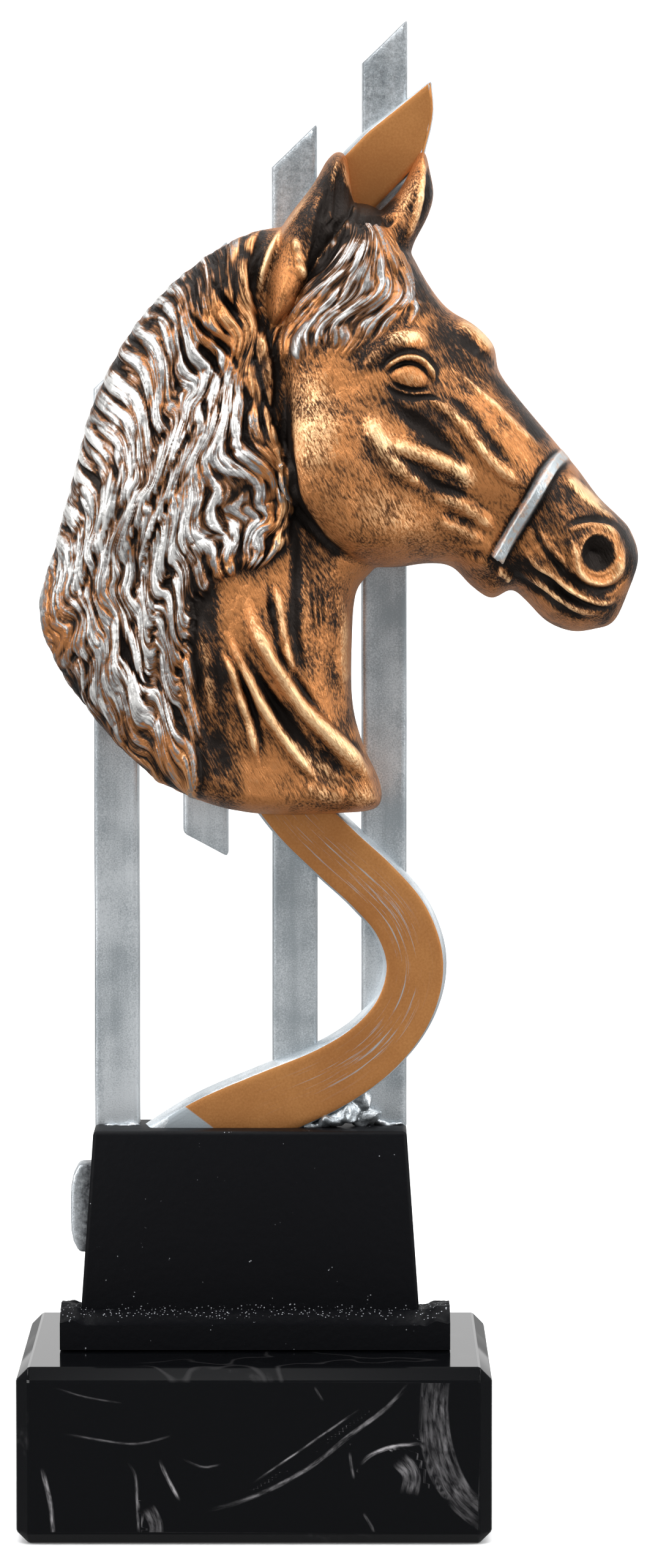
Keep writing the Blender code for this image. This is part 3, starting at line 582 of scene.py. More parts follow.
forelock_reach = reach_inside(FORELOCK_EDGE)
forelock_hairs = comb(FORELOCK_GUIDES, FORELOCK_CURLS, FORELOCK_WAVE)
forelock = 0.1 + locks_of_hair(FORELOCK_GUIDES, FORELOCK_CURLS, 10, 4, 0.4, 0.8, 0.6, FORELOCK_WAVE, 21)
for rise, *fineness in FORELOCK_STRANDS:
    forelock += rise * strands(forelock_hairs, *fineness)
forelock *= smoothstep(forelock_reach + 2.0 * forelock, -0.6, 3.6)
forelock_there = smoothstep(forelock, 0.03, 0.4)

in_forelock = forelock_reach > -2
hair_across = np.where(in_forelock, 50 * forelock_hairs[0] + 300, 120 * mane_hairs[0])
hair_along = np.where(in_forelock, 4 * forelock_hairs[1] + 300, 14 * mane_hairs[1])
print("hair combed", round(time.time() - STARTED, 1), "s")

# %% [markdown]
# ## The face, neck and ears
# Under the skin of a real horse run a long facial crest, veins and cords of muscle, and the modeller cut them
# deep so that the dark wash would catch. Each is one stroke: a path, half its width and how far it rises, in
# millimetres. Strokes with a negative rise are the grooves between.

# %% Ridges of the face
FACE_RIDGES = (
    (((32.6, 197.2), (37.5, 193), (42, 188.9), (46, 185.2), (49.4, 182.4)), 0.85, 0.6),
    (((28.6, 192.4), (32.6, 189.9), (35.4, 187.4), (37.6, 184.4), (40, 181.4), (42.9, 178.8), (46, 177)),
     1.7, 0.9),
    (((18.6, 189.4), (20.2, 186.5), (23.2, 182), (26.3, 179.4), (30.4, 177.6)), 2.3, 0.9),
    (((22, 185.2), (26.8, 183), (31.4, 181.3), (34.6, 179.6), (36.4, 177)), 2.1, 1.1),
    (((29.6, 175.4), (33.7, 174.5), (37.1, 172.6), (40.8, 169.4)), 1.7, 0.8),
    (((30.4, 171.6), (34.4, 170), (38.6, 167.6)), 1.5, 0.4),
    (((33.6, 204.8), (36.4, 203.4), (38.8, 201.6), (40.6, 199)), 2.1, 0.9),
    (((18.8, 195.6), (20.2, 199), (23.2, 201.4), (26.8, 202), (30.4, 200.6)), 1.9, 0.6),
    (((21.8, 196), (23, 197.6), (25.6, 198.7), (28.4, 198.1), (30, 195.9), (30.4, 194)), 0.6, 0.9),
    (((22, 194.8), (24, 193.4), (26.6, 192.6), (29.8, 192.8)), 0.5, 0.45),
)
MUZZLE_RIDGES = (
    (((51.4, 179.2), (55, 176.4), (58.8, 173), (61.6, 169.8)), 1.3, 0.8),
    (((47.4, 170.4), (49.2, 167.2), (52, 163.8), (55.4, 160.4), (59.4, 158.9)), 0.9, 0.8),
    (((44.8, 167.6), (46.9, 164.6), (50.3, 161.8), (54.2, 158.9), (58.6, 157.3), (62.2, 158)), 0.8, 0.8),
    (((43.8, 163.2), (47.4, 161), (50.8, 158.6), (54.4, 156.4), (58.6, 155.2)), 0.8, 0.6),
    (((40.8, 163), (42.2, 162.2), (43.4, 161)), 1.1, 1),
)
NECK_RIDGES = (
    (((-5.7, 149.6), (-3.6, 146.1), (-2.1, 141), (-0.5, 135.8), (0.6, 129.6)), 1.1, 1.1),
    (((-4.6, 153), (-2.6, 148.4), (-0.2, 143.6), (2.9, 137.6), (6.6, 132.2), (11.6, 126)), 1.4, 1.3),
    (((-1.6, 159.1), (0.6, 152.6), (3.9, 146.4), (7.9, 140.2), (13.7, 133.8), (18.6, 128.2),
     (20.6, 124.6)), 1.9, 1.7),
    (((3.5, 161), (5, 152), (6, 147), (7, 144)), 1.1, 0.9),
    (((-9, 156), (-8.4, 150), (-7.4, 144), (-6.8, 138)), 1.6, 0.8),
    (((14, 160), (15, 154), (15, 147), (15.4, 141)), 1.4, 0.5),
    (((16.5, 137), (18.8, 131.6), (20.6, 127)), 1.3, 0.7),
    (((8, 126.6), (12, 124.8), (16, 124.2)), 2.2, 0.4),
)
EAR_RIDGES = (
    (((0.6, 207), (1.6, 213), (4.4, 219), (8.2, 224.4), (12.6, 231.8)), 1, 0.9),
    (((15, 233), (15.7, 228), (17, 223.4), (15.8, 220.2), (13, 217), (10.5, 213.5), (8.2, 210)), 0.9, 1),
    (((7, 219), (7.6, 215), (8.3, 211)), 1.1, 0.8),
    (((28.6, 232.8), (28.4, 227.6), (27.2, 222.4), (25.4, 217.6)), 0.8, 0.8),
)

# %% Grooves between them
FACE_GROOVES = (
    (((29.8, 193.2), (33.2, 191.2), (36.6, 188), (39, 184.6), (41.6, 181.8), (45.2, 179.2)), 1.5, -0.7),
    (((21.4, 192), (25.1, 189.2), (29.1, 186.2), (32.6, 183.4), (35.2, 181), (36.8, 178.4)), 1.5, -1),
    (((21, 185.6), (25.5, 181.3), (30.3, 177.4), (34.9, 175.7), (38, 173.4)), 0.9, -0.9),
    (((30.2, 173.1), (34.9, 171.2), (38.4, 169.6)), 0.8, -0.5),
    (((34, 166.2), (38, 165.4), (42, 164.4)), 0.9, -0.6),
    (((5.6, 198), (5.4, 188), (5.9, 180), (7, 174.5), (9.5, 170.5), (12.5, 167.2), (16, 164.8),
     (20.4, 162.9)), 1.4, -1.7),
    (((32.4, 203.4), (35.2, 201.6), (38, 199.4), (41.4, 196)), 1.1, -0.7),
)
MUZZLE_GROOVES = (
    (((50.6, 168.8), (53, 170.9), (56.6, 171.6), (60.4, 170.8), (62.6, 168.4)), 0.6, -0.8),
    (((46, 172.4), (47.8, 168.6), (50.4, 165), (53.4, 161.8), (57.4, 159.9), (61.6, 160.4)), 0.9, -1.5),
    (((44, 165.8), (47, 163), (50.3, 160.4), (54.4, 157.7), (58.8, 156.3), (62.4, 156.9)), 0.7, -1.5),
    (((42.6, 162.6), (46.3, 160.4), (50.3, 157.6), (53.8, 155.4), (57.8, 153.9)), 0.7, -1.2),
    (((52.6, 167.8), (52.6, 164), (54.2, 160.9), (57.8, 159.2), (61.4, 160.2), (63.2, 163), (63.2, 167)),
     0.6, -0.8),
    (((47.4, 163.6), (51, 160.8), (54.6, 158.9)), 0.4, -0.6),
)
NECK_GROOVES = (
    (((-3.4, 152.2), (-0.8, 147.2), (1.4, 143.4), (4.8, 138.4), (8.6, 133.6), (13.4, 128.4)), 1.1, -1.9),
    (((-5, 151), (-2.9, 146.4), (-0.8, 141), (0.8, 135.4), (1.6, 129.6)), 0.7, -1.1),
    (((1.4, 153.6), (3.6, 149.4), (6.4, 145.2), (9.6, 140.6), (13.6, 136)), 0.8, -0.9),
    (((7, 173), (7, 162), (7.1, 152), (8.6, 143)), 1.2, -1.3),
    (((2, 162.5), (3.2, 155.6), (4.4, 149.6)), 0.9, -0.9),
    (((9.6, 133.8), (12.6, 130.8), (16.2, 126.6)), 0.8, -0.7),
    (((12.4, 153), (13, 146), (14.4, 139), (17, 132)), 1.2, -0.5),
    (((-8.2, 138.6), (-6, 132.6), (-5, 125.8)), 1.8, -0.6),
)
EAR_GROOVES = (
    (((12.8, 229.6), (11.6, 222), (10.5, 217), (8.6, 212)), 1.2, -2),
    (((14.4, 231), (14.4, 224.8), (13.4, 220.4), (10.8, 215.6)), 1.3, -2),
    (((28.8, 231.6), (29.4, 226.4), (27.8, 220.4)), 0.9, -1),
    (((18.6, 222.2), (21.5, 221), (24.2, 222)), 0.9, -1.2),
    (((15.6, 222.8), (18.2, 220.6), (21.6, 221.6)), 1.4, -2),
    (((1.2, 204.4), (4.2, 202.4), (7.6, 205.4)), 1, -1.3),
)
THROAT_SCRATCHES = (
    ((9.4, 163), (9.8, 156), (10.6, 149)), ((10.4, 162), (10.8, 156), (11.4, 150)),
    ((11.6, 161), (11.6, 156), (12.2, 151)),
)

# %% Folds round the eye, with half the width of the dark line in each as a last number
EYE_FOLDS = (
    (((20.8, 195.8), (22.4, 198.2), (25.1, 199.7), (28.2, 199.4), (30.6, 197), (31.2, 194.2)),
     0.5, -0.8, 0.5),
    (((22.1, 195.3), (23.4, 196.9), (26, 197.8), (28.4, 196.9), (29.5, 194.6)), 0.38, -0.7, 0.42),
    (((22.4, 195), (24.5, 193.8), (26.8, 193.3), (29.4, 193.5)), 0.38, -0.6, 0.42),
    (((21.3, 195), (23.4, 192.8), (26.3, 191.9), (29.7, 192), (33, 190.8)), 0.5, -0.6, 0.5),
)
RIDGES = FACE_RIDGES + MUZZLE_RIDGES + NECK_RIDGES + EAR_RIDGES
GROOVES = FACE_GROOVES + MUZZLE_GROOVES + NECK_GROOVES + EAR_GROOVES
GROOVES += tuple((path, half, rise) for path, half, rise, _ in EYE_FOLDS)
print("ridges", len(RIDGES), "and grooves", len(GROOVES))

# %% Carve the face
SKIN_LUMPS = ((0.20, 2.6, 40, 51), (0.08, 1.1, 60, 52))
CHEEK = (16.5, 179.0)
CHEEK_RADII = (13.0, 16.0)
CHEEK_TILT = 20
EYE = (26.2, 195.3)
EYE_RADII = (3.3, 2.1)
EYE_SOCKET_RADII = (6.4, 4.8)
EYE_TILT = -14.0
NOSTRIL = (58.0, 165.7)
NOSTRIL_RADII = (3.0, 3.5)
NOSTRIL_TILT = 8
NOSTRIL_RIM = (
    (52.4, 169.6), (53.9, 166.6), (54.4, 163.4), (56.2, 161.3), (58.8, 160.8), (61, 162.4), (62, 165.4),
    (61.6, 168),
)
NOSTRIL_WING = ((51.8, 168.9), (54.6, 170.3), (58.0, 170.4), (60.8, 168.9), (62.0, 166.4))
NOSEBAND = ((54.3, 182.4), (51.8, 181.7), (49.4, 179.4), (46.4, 174.3), (43.4, 169.2), (40.9, 164.8))

x, z = GRID.T
face = np.zeros(len(GRID))
for rise, size, shift, seed in SKIN_LUMPS:
    face += rise * (soft_noise(x / size + shift, z / size, seed) - 0.5)
dome(face, CHEEK, CHEEK_RADII, 1.6, CHEEK_TILT)
dome(face, EYE, EYE_SOCKET_RADII, -1.0, EYE_TILT)
for path, half, rise in RIDGES:
    stroke(face, path, half, rise, 0.2)
for path, half, rise in GROOVES:
    stroke(face, path, 1.25 * half, 0.75 * rise, 0.45, 1.3)
for path in THROAT_SCRATCHES:
    stroke(face, path, 0.35, -0.35)
dome(face, EYE, EYE_RADII, 1.3, EYE_TILT, 0.7)
dome(face, NOSTRIL, NOSTRIL_RADII, -3.2, NOSTRIL_TILT, 1.0)
stroke(face, NOSTRIL_RIM, 0.9, 1.1, 0.25)
stroke(face, NOSTRIL_WING, 0.7, 0.6, 0.3)
stroke(face, NOSEBAND, 2.3, -0.7, 0)

# %% The noseband, a flat strap over the bridge of the nose, with a knob at its upper end
NOSEBAND_HALF = 1.25
NOSEBAND_RISE = 1.2
KNOB = (53.4, 182.0)
KNOB_RADII = (1.9, 1.5)
KNOB_RISE = 0.6

line = smooth_line(NOSEBAND)
found = cells_near(line, 2)
dist, along, _ = nearest_on_line(GRID[found], line)
noseband = np.zeros(len(GRID))
noseband[found] = smoothstep(NOSEBAND_HALF - dist, 0, 0.5) * ((along > 0) & (along < 1))

# %% Everything on one relief
under_hair = (1 - mane_there) * (1 - 0.8 * forelock_there) * (1 - noseband)
relief = face * under_hair + np.maximum(mane, forelock) + NOSEBAND_RISE * noseband
dome(relief, KNOB, KNOB_RADII, KNOB_RISE)
hair_there = np.maximum(mane_there, forelock_there)
print("relief", round(float(relief.min()), 2), "to", round(float(relief.max()), 2), "mm")

# %% [markdown]
# The painter covers everything with bronze, floods it with a thin black, wipes it, and last drags a nearly
# dry silver brush over the hair. So the black stays where a place is lower than its surroundings, and the
# silver sticks where it is higher. Blurring the relief gives the surroundings. A few soft patches say where
# this painter left more black or wiped the silver off. The bright bronze is rubbed paint on high places with
# painted highlight on top, and the bright patches are painted highlight where the lamps light the bronze. One
# black patch is painted shade, on the edge of the muzzle that turns away from the lamps.

# %% Patches: where, how large, how much, and the tilt
BLACK_PATCHES = (
    ((34, 198.6), (8, 6), 0.36, -35), ((52, 160), (12, 4.5), 0.30, -35), ((18.5, 224.5), (6, 4), 1.2, 0),
    ((29, 208), (3, 9), 0.30, 30), ((31, 187), (10, 6), 0.16, -38), ((47, 187), (9, 3), 0.20, -42),
    ((16, 168), (13, 4), 0.16, -12), ((56, 170), (8, 6), 0.16, -40), ((24, 190.5), (9, 3.4), 0.28, -25),
    ((20, 199), (7, 3), 0.35, 20), ((43.5, 192), (11, 2.6), 0.32, -50), ((51, 175), (5, 4), 0.30, -45),
    # The patch at (64.5, 166) is painted shade: it darkens the muzzle's right edge, which turns away from the
    # lamps.
    ((64.5, 166), (3.4, 9), 0.65, 10), ((47, 162), (8, 3), 0.25, -40), ((11, 224), (4.6, 9), 0.45, -20),
    ((16.5, 220), (5, 3), 0.7, 0), ((-7.6, 150), (3.4, 16), 0.45, 8), ((-6, 128), (5, 8), 0.35, 10),
    ((10, 156), (6, 16), 0.18, 0), ((7, 172), (4, 10), 0.30, 10), ((-6, 212), (14, 5), 0.35, 35),
    ((-25, 196), (17, 4), 0.30, 52), ((8, 134), (10, 5), 0.20, -45), ((-24, 137), (16, 3), 0.3, -50),
    ((1, 192), (4, 20), 0.3, -8), ((18.5, 134), (3, 9), 0.25, 10), ((40, 161.5), (6, 3.4), 0.25, 0),
    ((22, 181), (9, 3), 0.2, -35), ((14, 190), (9, 5), 0.16, -20), ((12, 214), (2.6, 8), 0.5, -30),
    ((26.5, 222), (4, 9), 0.3, -15), ((44, 179), (9, 3), 0.22, -45), ((57, 157), (8, 3), 0.25, 0),
    ((34, 176), (7, 3), 0.2, -30), ((51, 168), (8, 3.6), 0.20, -50), ((60, 171), (5, 2.4), 0.25, -40),
)
BRONZE_PATCHES = (
    ((0.5, 208), (8, 16), 0.8, 0), ((3, 188), (6, 20), 0.62, 5), ((-7, 203), (7, 9), 0.45, 30),
    ((-20, 128), (20, 10), 0.7, -35), ((-34, 150), (5, 14), 0.35, 0), ((4.5, 168), (5, 7), 0.6, 0),
    ((-5, 163), (7, 5), 0.5, -20), ((22.5, 216), (5, 6), 0.35, 0), ((8, 209), (4.5, 4.5), 0.3, 40),
)
# Painted highlight: bright bronze where the lamps light the cheek, brows, ears, muzzle and neck.
PAINTED_HIGHLIGHT_PATCHES = (
    ((9.2, 188), (6, 10.5), 0.28, 0), ((21.6, 184.4), (4, 7), 0.2, 35), ((35.2, 179), (2.6, 3), 0.3, 40),
    ((24, 172), (9, 5), 0.15, -30), ((56, 175.2), (5, 1.6), 0.4, -40), ((10, 131), (8, 2.4), 0.3, -45),
    ((2, 214), (2, 7), 0.4, -15), ((14.2, 229), (1.6, 3), 0.3, 0), ((39, 202), (3, 1.6), 0.4, -45),
    ((24.8, 201.8), (3, 1.2), 0.4, 0), ((26, 225), (2, 5), 0.2, -20), ((18.6, 124.4), (3, 2.4), 0.2, 0),
)

print("patches", len(BLACK_PATCHES), "black,", len(BRONZE_PATCHES), "bronze,", len(PAINTED_HIGHLIGHT_PATCHES), "bright")

# %% Black in the hollows
FINE_BLUR = 1.3
BROAD_BLUR = 4.5
BLACK_BASE = 0.34
BLACK_BY_FINE = 0.45
BLACK_BY_FINE_HAIR = 0.17
BLACK_BY_BROAD = 0.15
BLACK_PATCH_STRENGTH = 0.75
BLACK_IN_GROOVES_MOST = 0.22
BLACK_AT_MANE_EDGE = 0.16

fine = relief - blur(relief, FINE_BLUR)
broad = relief - blur(relief, BROAD_BLUR)
black = BLACK_BASE - (BLACK_BY_FINE + BLACK_BY_FINE_HAIR * hair_there) * fine - BLACK_BY_BROAD * broad
patches(black, BLACK_PATCHES, BLACK_PATCH_STRENGTH)
in_grooves = np.zeros(len(GRID))
for path, half, rise in GROOVES:
    stroke(in_grooves, path, 1.5 * half, 0.06 - 0.08 * rise, 0.4, 1.0)
in_grooves = np.minimum(in_grooves, BLACK_IN_GROOVES_MOST)
dome(in_grooves, NOSTRIL, (3.1, 3.4), 1.2, NOSTRIL_TILT, 0.6)
for path, _, _, dark_half in EYE_FOLDS:
    stroke(in_grooves, path, dark_half, 0.5, 0.3, 1.0)
black += in_grooves * under_hair
at_mane_edge = mane_there * (1 - smoothstep(mane_reach, 0, 4.5))
black += BLACK_AT_MANE_EDGE * at_mane_edge
print("black on", round(float((black > 0.6).mean()), 2), "of the drawing")

# %% Silver on the hair
SILVER_BASE = 0.49
SILVER_FORELOCK_LESS = 0.04
SILVER_BY_FINE = 0.6
SILVER_BY_BROAD = 0.12
SILVER_PATCHY = 0.3
BRONZE_PATCH_STRENGTH = 0.72
SILVER_LESS_AT_MANE_EDGE = 0.30
SILVER_LESS_AT_FORELOCK_EDGE = 0.22

silver = SILVER_BASE - SILVER_FORELOCK_LESS * in_forelock + SILVER_BY_FINE * fine + SILVER_BY_BROAD * broad
silver += SILVER_PATCHY * (soft_noise(GRID[:, 0] / 5, GRID[:, 1] / 8, 41) - 0.5)
patches(silver, BRONZE_PATCHES, -BRONZE_PATCH_STRENGTH)
at_forelock_edge = forelock_there * (1 - smoothstep(forelock_reach, -1, 3.0))
silver -= SILVER_LESS_AT_MANE_EDGE * at_mane_edge + SILVER_LESS_AT_FORELOCK_EDGE * at_forelock_edge
silver = np.clip(silver * hair_there, 0, 1)
print("silver on", round(float((silver > 0.4).mean()), 2), "of the drawing")

# %% Bronze rubbed bright on high places, with painted highlight on the ridges and in patches
BRIGHT_BASE = 0.30
BRIGHT_BY_FINE = 0.20
BRIGHT_BY_BROAD = 0.16
BRIGHT_ON_RIDGES = 0.14

# Rubbed bronze on raised places is real paint; the patches and the strokes along the ridges add painted
# highlight.
high = BRIGHT_BASE + BRIGHT_BY_FINE * fine + BRIGHT_BY_BROAD * broad
patches(high, PAINTED_HIGHLIGHT_PATCHES)
for path, half, _ in RIDGES:
    stroke(high, path, 0.6 * half, BRIGHT_ON_RIDGES, 0.3, 1.0)
high = np.clip(high, 0, 1)
print("bright on", round(float((high > 0.5).mean()), 2), "of the drawing")

# %% [markdown]
# ## The head's body
# Before any carving the wax was a few soft masses: neck, face and two ears. Each is drawn as an outline, cut
# as a thin slab, turned into even squares by a voxel remesh, and then blown up like a cushion: the further in
# from its outline a point lies, the more it swells, in front and behind. A second remesh melts the masses
# into one skin of even squares, fine enough to take the relief.

# %% Outlines, and how far each place swells in front, behind, and over what distance from the edge
NECK_OUTLINE = (
    (21.3, 126), (20.6, 121.8), (13, 120.9), (3, 120.7), (-6, 122), (-14, 125.4), (-21.5, 131.2),
    (-29, 139.8), (-34.3, 148.5), (-36.2, 157), (-33.6, 167), (-30.6, 178.5), (-26.8, 191.5),
    (-19.8, 204.2), (-10.5, 213.6), (0, 219.5), (8, 220.5), (17, 220.3), (22, 214), (26, 200), (26, 180),
    (23, 166), (20, 162.3), (17.2, 158.5), (16.5, 150), (16.6, 140), (18.4, 132.6),
)
NECK_SWELL = (
    (-28, 160, 9, 4.8, 9), (-10, 205, 10, 5, 9), (-10, 175, 13, 6.2, 12), (-20, 140, 9, 5, 8),
    (0, 124, 10, 5, 4), (16, 126, 9, 5, 4), (13, 145, 11, 5.6, 8), (2, 150, 13, 6.2, 9), (5, 215, 9, 5, 6),
    (12, 170, 11, 6, 8),
)
FACE_OUTLINE = (
    (20, 162.9), (24.5, 162.9), (29.5, 163.5), (33.5, 162.9), (36.8, 159.7), (40.2, 157.6), (43.6, 159),
    (46, 157.3), (49.6, 153.7), (53.8, 152), (57.5, 152.3), (61, 153.6), (63.4, 158.5), (65.2, 164.4),
    (63.8, 169.2), (61.4, 171.9), (58.4, 174.8), (54.8, 179.6), (50.6, 184.6), (45, 191.2), (41.5, 196),
    (40.5, 200.4), (37.3, 203.8), (32.6, 206.8), (29.3, 211), (26.4, 216.2), (23, 221.6), (18.6, 224.4),
    (13.4, 222.6), (6.5, 213), (3, 203), (3.2, 192), (3.4, 182), (5.2, 173.4), (10.5, 167.2), (15.5, 163.6),
)
FACE_SWELL = (
    (12, 180, 17, 5, 6), (20, 172, 16, 6, 7), (28, 182, 17, 7, 10), (26, 196, 17, 7, 11),
    (18, 210, 14, 6, 9), (36, 200, 12, 7, 9), (42, 182, 16, 7, 9), (38, 166, 13, 6.5, 7),
    (54, 168, 15, 7, 8), (60, 158, 12, 6.5, 7), (40, 160, 10, 5.5, 6),
)
NEAR_EAR_OUTLINE = (
    (1, 207), (1.6, 212.5), (4.6, 220.4), (9.8, 227.4), (12.2, 231.6), (14.2, 233.2), (15.6, 231.8),
    (16.4, 226.4), (17.2, 222), (14.8, 217.6), (10.6, 211.4), (7.4, 205.6), (4, 202.8), (1.8, 203.8),
)
NEAR_EAR_SWELL = ((4, 207, 14.5, 1, 4.5), (9, 218, 12.5, -1.5, 4.0), (14, 229, 9.0, -3.0, 3.0))
FAR_EAR_OUTLINE = (
    (18.4, 219.4), (20.2, 222), (24.6, 226.8), (27.6, 232.4), (28.8, 233.1), (29.7, 229.8), (30.3, 226),
    (29.4, 222.4), (27.2, 218.2), (25.6, 215.2), (20.6, 216.2),
)
FAR_EAR_SWELL = ((22, 219, 7.5, 2.5, 4.0), (27, 226, 6.0, 1.5, 3.0), (28.8, 231.5, 3.6, 0.5, 2.0))
MASSES = (
    (NECK_OUTLINE, NECK_SWELL),
    (FACE_OUTLINE, FACE_SWELL),
    (NEAR_EAR_OUTLINE, NEAR_EAR_SWELL),
    (FAR_EAR_OUTLINE, FAR_EAR_SWELL),
)
print("masses", len(MASSES))

# %% Slabs and remeshing
RIM_Y = -0.003
RIM_HALF = 0.0008
SLAB_VOXEL = 0.0006
SLAB_HALF = 2.5 * SLAB_VOXEL
SWELL_BLEND = 8
SKIN_VOXEL = 0.00025
SKIN_SMOOTHING = 14


def prism(outline, front, back):
    """A flat closed outline, in x and z, extruded from front to back along y."""
    bm = bmesh.new()
    flat = bm.faces.new([bm.verts.new((x, front, z)) for x, z in outline])
    bmesh.ops.translate(bm, verts=extruded(bm, [flat]), vec=(0, back - front, 0))
    return bm


def remeshed(obj, voxel, smoothing=0):
    """The object's mesh rebuilt from even voxels, and smoothed a little."""
    modifier = obj.modifiers.new("voxels", "REMESH")
    modifier.mode = "VOXEL"
    modifier.voxel_size = voxel
    if smoothing:
        soft = obj.modifiers.new("soften", "SMOOTH")
        soft.factor = 0.5
        soft.iterations = smoothing
    return finished_mesh(obj)


def keep_numbers(mesh, fields):
    """Keeps named numbers on the mesh, one at every corner, where materials can read them."""
    for name, values in fields.items():
        layer = mesh.attributes.new(name, "FLOAT", "POINT")
        layer.data.foreach_set("value", np.ascontiguousarray(values, np.float32))


def vectors(collection, key):
    """The places or directions that a mesh keeps, as rows of an array."""
    array = np.empty(len(collection) * 3)
    collection.foreach_get(key, array)
    return array.reshape(-1, 3)


def cushion(outline, swell):
    """One mass of the head: a slab of the outline, swollen to the front and to the back."""
    line = smooth_line(outline, closed=True)
    mesh = remeshed(new_object("slab", prism(line * DRAWING, -SLAB_HALF, SLAB_HALF)), SLAB_VOXEL)
    place = vectors(mesh.vertices, "co")
    drawn = place[:, (0, 2)] / DRAWING
    dist, _, _ = nearest_on_line(drawn, np.vstack([line, line[:1]]))
    dist[~inside(drawn, line)] = 0
    rows = np.array(swell, float)
    gap = np.hypot(drawn[:, None, 0] - rows[None, :, 0], drawn[:, None, 1] - rows[None, :, 1])
    weight = 1 / (gap**3 + SWELL_BLEND)
    forward, back, reach = (weight @ rows[:, k] / weight.sum(axis=1) for k in (2, 3, 4))
    rise = np.sqrt(1 - (1 - np.clip(dist / reach, 0, 1)) ** 2)
    side = np.clip(place[:, 1] / SLAB_HALF, -1, 1)
    swollen = np.where(side < 0, forward, back) * rise * DRAWING
    place[:, 1] = RIM_Y + side * (RIM_HALF + swollen)
    mesh.vertices.foreach_set("co", place.ravel())
    return mesh


bm = bmesh.new()
for outline, swell in MASSES:
    mesh = cushion(outline, swell)
    bm.from_mesh(mesh)
    bpy.data.meshes.remove(mesh)
skin = remeshed(new_object("masses", bm), SKIN_VOXEL, SKIN_SMOOTHING)
print("skin", len(skin.polygons), "squares", round(time.time() - STARTED, 1), "s")

# %% Carve the skin
FACING_FROM_TO = (-0.1, 0.35)
CARVED_FROM_TO = (-0.1, 0.8)

place = vectors(skin.vertices, "co")
normal = vectors(skin.vertex_normals, "vector")
drawn = place[:, (0, 2)] / DRAWING
facing = smoothstep(-normal[:, 1], *FACING_FROM_TO)
carved = smoothstep(-normal[:, 1], *CARVED_FROM_TO)
place += normal * (read_field(relief, drawn) * carved * DRAWING)[:, None]
place[:, 2] += DRAWING_LIFT
skin.vertices.foreach_set("co", place.ravel())
paint = {
    "black": BLACK_BASE + (read_field(black, drawn) - BLACK_BASE) * facing,
    "high": BRIGHT_BASE + (read_field(high, drawn) - BRIGHT_BASE) * facing,
    "silver": read_field(silver, drawn) * facing,
    "strap": read_field(noseband, drawn) * facing,
    "hair": read_field(hair_there, drawn) * facing,
    "hair_across": read_field(hair_across, drawn),
    "hair_along": read_field(hair_along, drawn),
}
keep_numbers(skin, paint)
print("kept on the skin:", ", ".join(paint))

# %% [markdown]
# ## Paint
# Each finish is one material made of nodes. The bronze is a metallic paint, with black wiped into every
# hollow and rubbed off the high places, and the mane is then brushed dry with silver. The shader reads the
# numbers that the carving left on the skin, so the wash lies in the real grooves. Noise in object coordinates
# breaks its edges up like a brush, and on the hair the noise runs along every hair instead.

# %% Node helpers


def new_material(name, roughness, metallic):
    """A material, its node tree, and its shader."""
    made = bpy.data.materials.new(name)
    made.use_nodes = True
    shader = made.node_tree.nodes["Principled BSDF"]
    shader.inputs["Roughness"].default_value = roughness
    shader.inputs["Metallic"].default_value = metallic
    return made, made.node_tree, shader


def add_node(tree, kind, inputs=None, **settings):
    """A node with its settings and inputs. An input is a value, or a socket to link from."""
    node = tree.nodes.new(kind)
    for key, value in settings.items():
        setattr(node, key, value)
    for key, value in (inputs or {}).items():
        if isinstance(value, bpy.types.NodeSocket):
            tree.links.new(value, node.inputs[key])
        else:
            node.inputs[key].default_value = value
    return node


def number(tree, name):
    """A number that the carving left on the mesh."""
    return add_node(tree, "ShaderNodeAttribute", attribute_name=name).outputs["Fac"]


def sums(tree, operation, *values, clamp=False):
    """The result of a Math node."""
    inputs = dict(enumerate(values))
    return add_node(tree, "ShaderNodeMath", inputs, operation=operation, use_clamp=clamp).outputs[0]


def mixed(tree, share, first, second):
    """Two colours mixed by a share."""
    return add_node(tree, "ShaderNodeMix", {0: share, 6: first, 7: second}, data_type="RGBA").outputs[2]


def between(tree, value, low, high, to_low=0.0, to_high=1.0):
    """A value's range mapped onto another, smoothly."""
    inputs = {"Value": value, "From Min": low, "From Max": high, "To Min": to_low, "To Max": to_high}
    return add_node(tree, "ShaderNodeMapRange", inputs, interpolation_type="SMOOTHSTEP").outputs[0]


def object_place(tree, turn=0.0, scale=(1, 1, 1)):
    """Object coordinates, turned about Y and stretched."""
    place = add_node(tree, "ShaderNodeTexCoord").outputs["Object"]
    turned = {"Vector": place, "Rotation": (0, math.radians(turn), 0)}
    spun = add_node(tree, "ShaderNodeMapping", turned).outputs[0]
    return add_node(tree, "ShaderNodeMapping", {"Vector": spun, "Scale": scale}).outputs[0]


def noise_of(tree, place, scale, detail=3.0, roughness=0.55):
    """Soft random values over the object, finer with a larger scale."""
    inputs = {"Vector": place, "Scale": scale, "Detail": detail, "Roughness": roughness}
    return add_node(tree, "ShaderNodeTexNoise", inputs).outputs["Fac"]


def bump(tree, shader, height, strength, distance):
    """Fine relief that only the shading shows."""
    made = add_node(tree, "ShaderNodeBump", {"Height": height, "Strength": strength, "Distance": distance})
    tree.links.new(made.outputs[0], shader.inputs["Normal"])


def painted(material, tree):
    """Tells how many nodes a finished material has."""
    print(material.name, len(tree.nodes), "nodes")


# %% Antique bronze with black wash and dry-brushed silver
BRONZE = (0.47, 0.19, 0.062, 1)
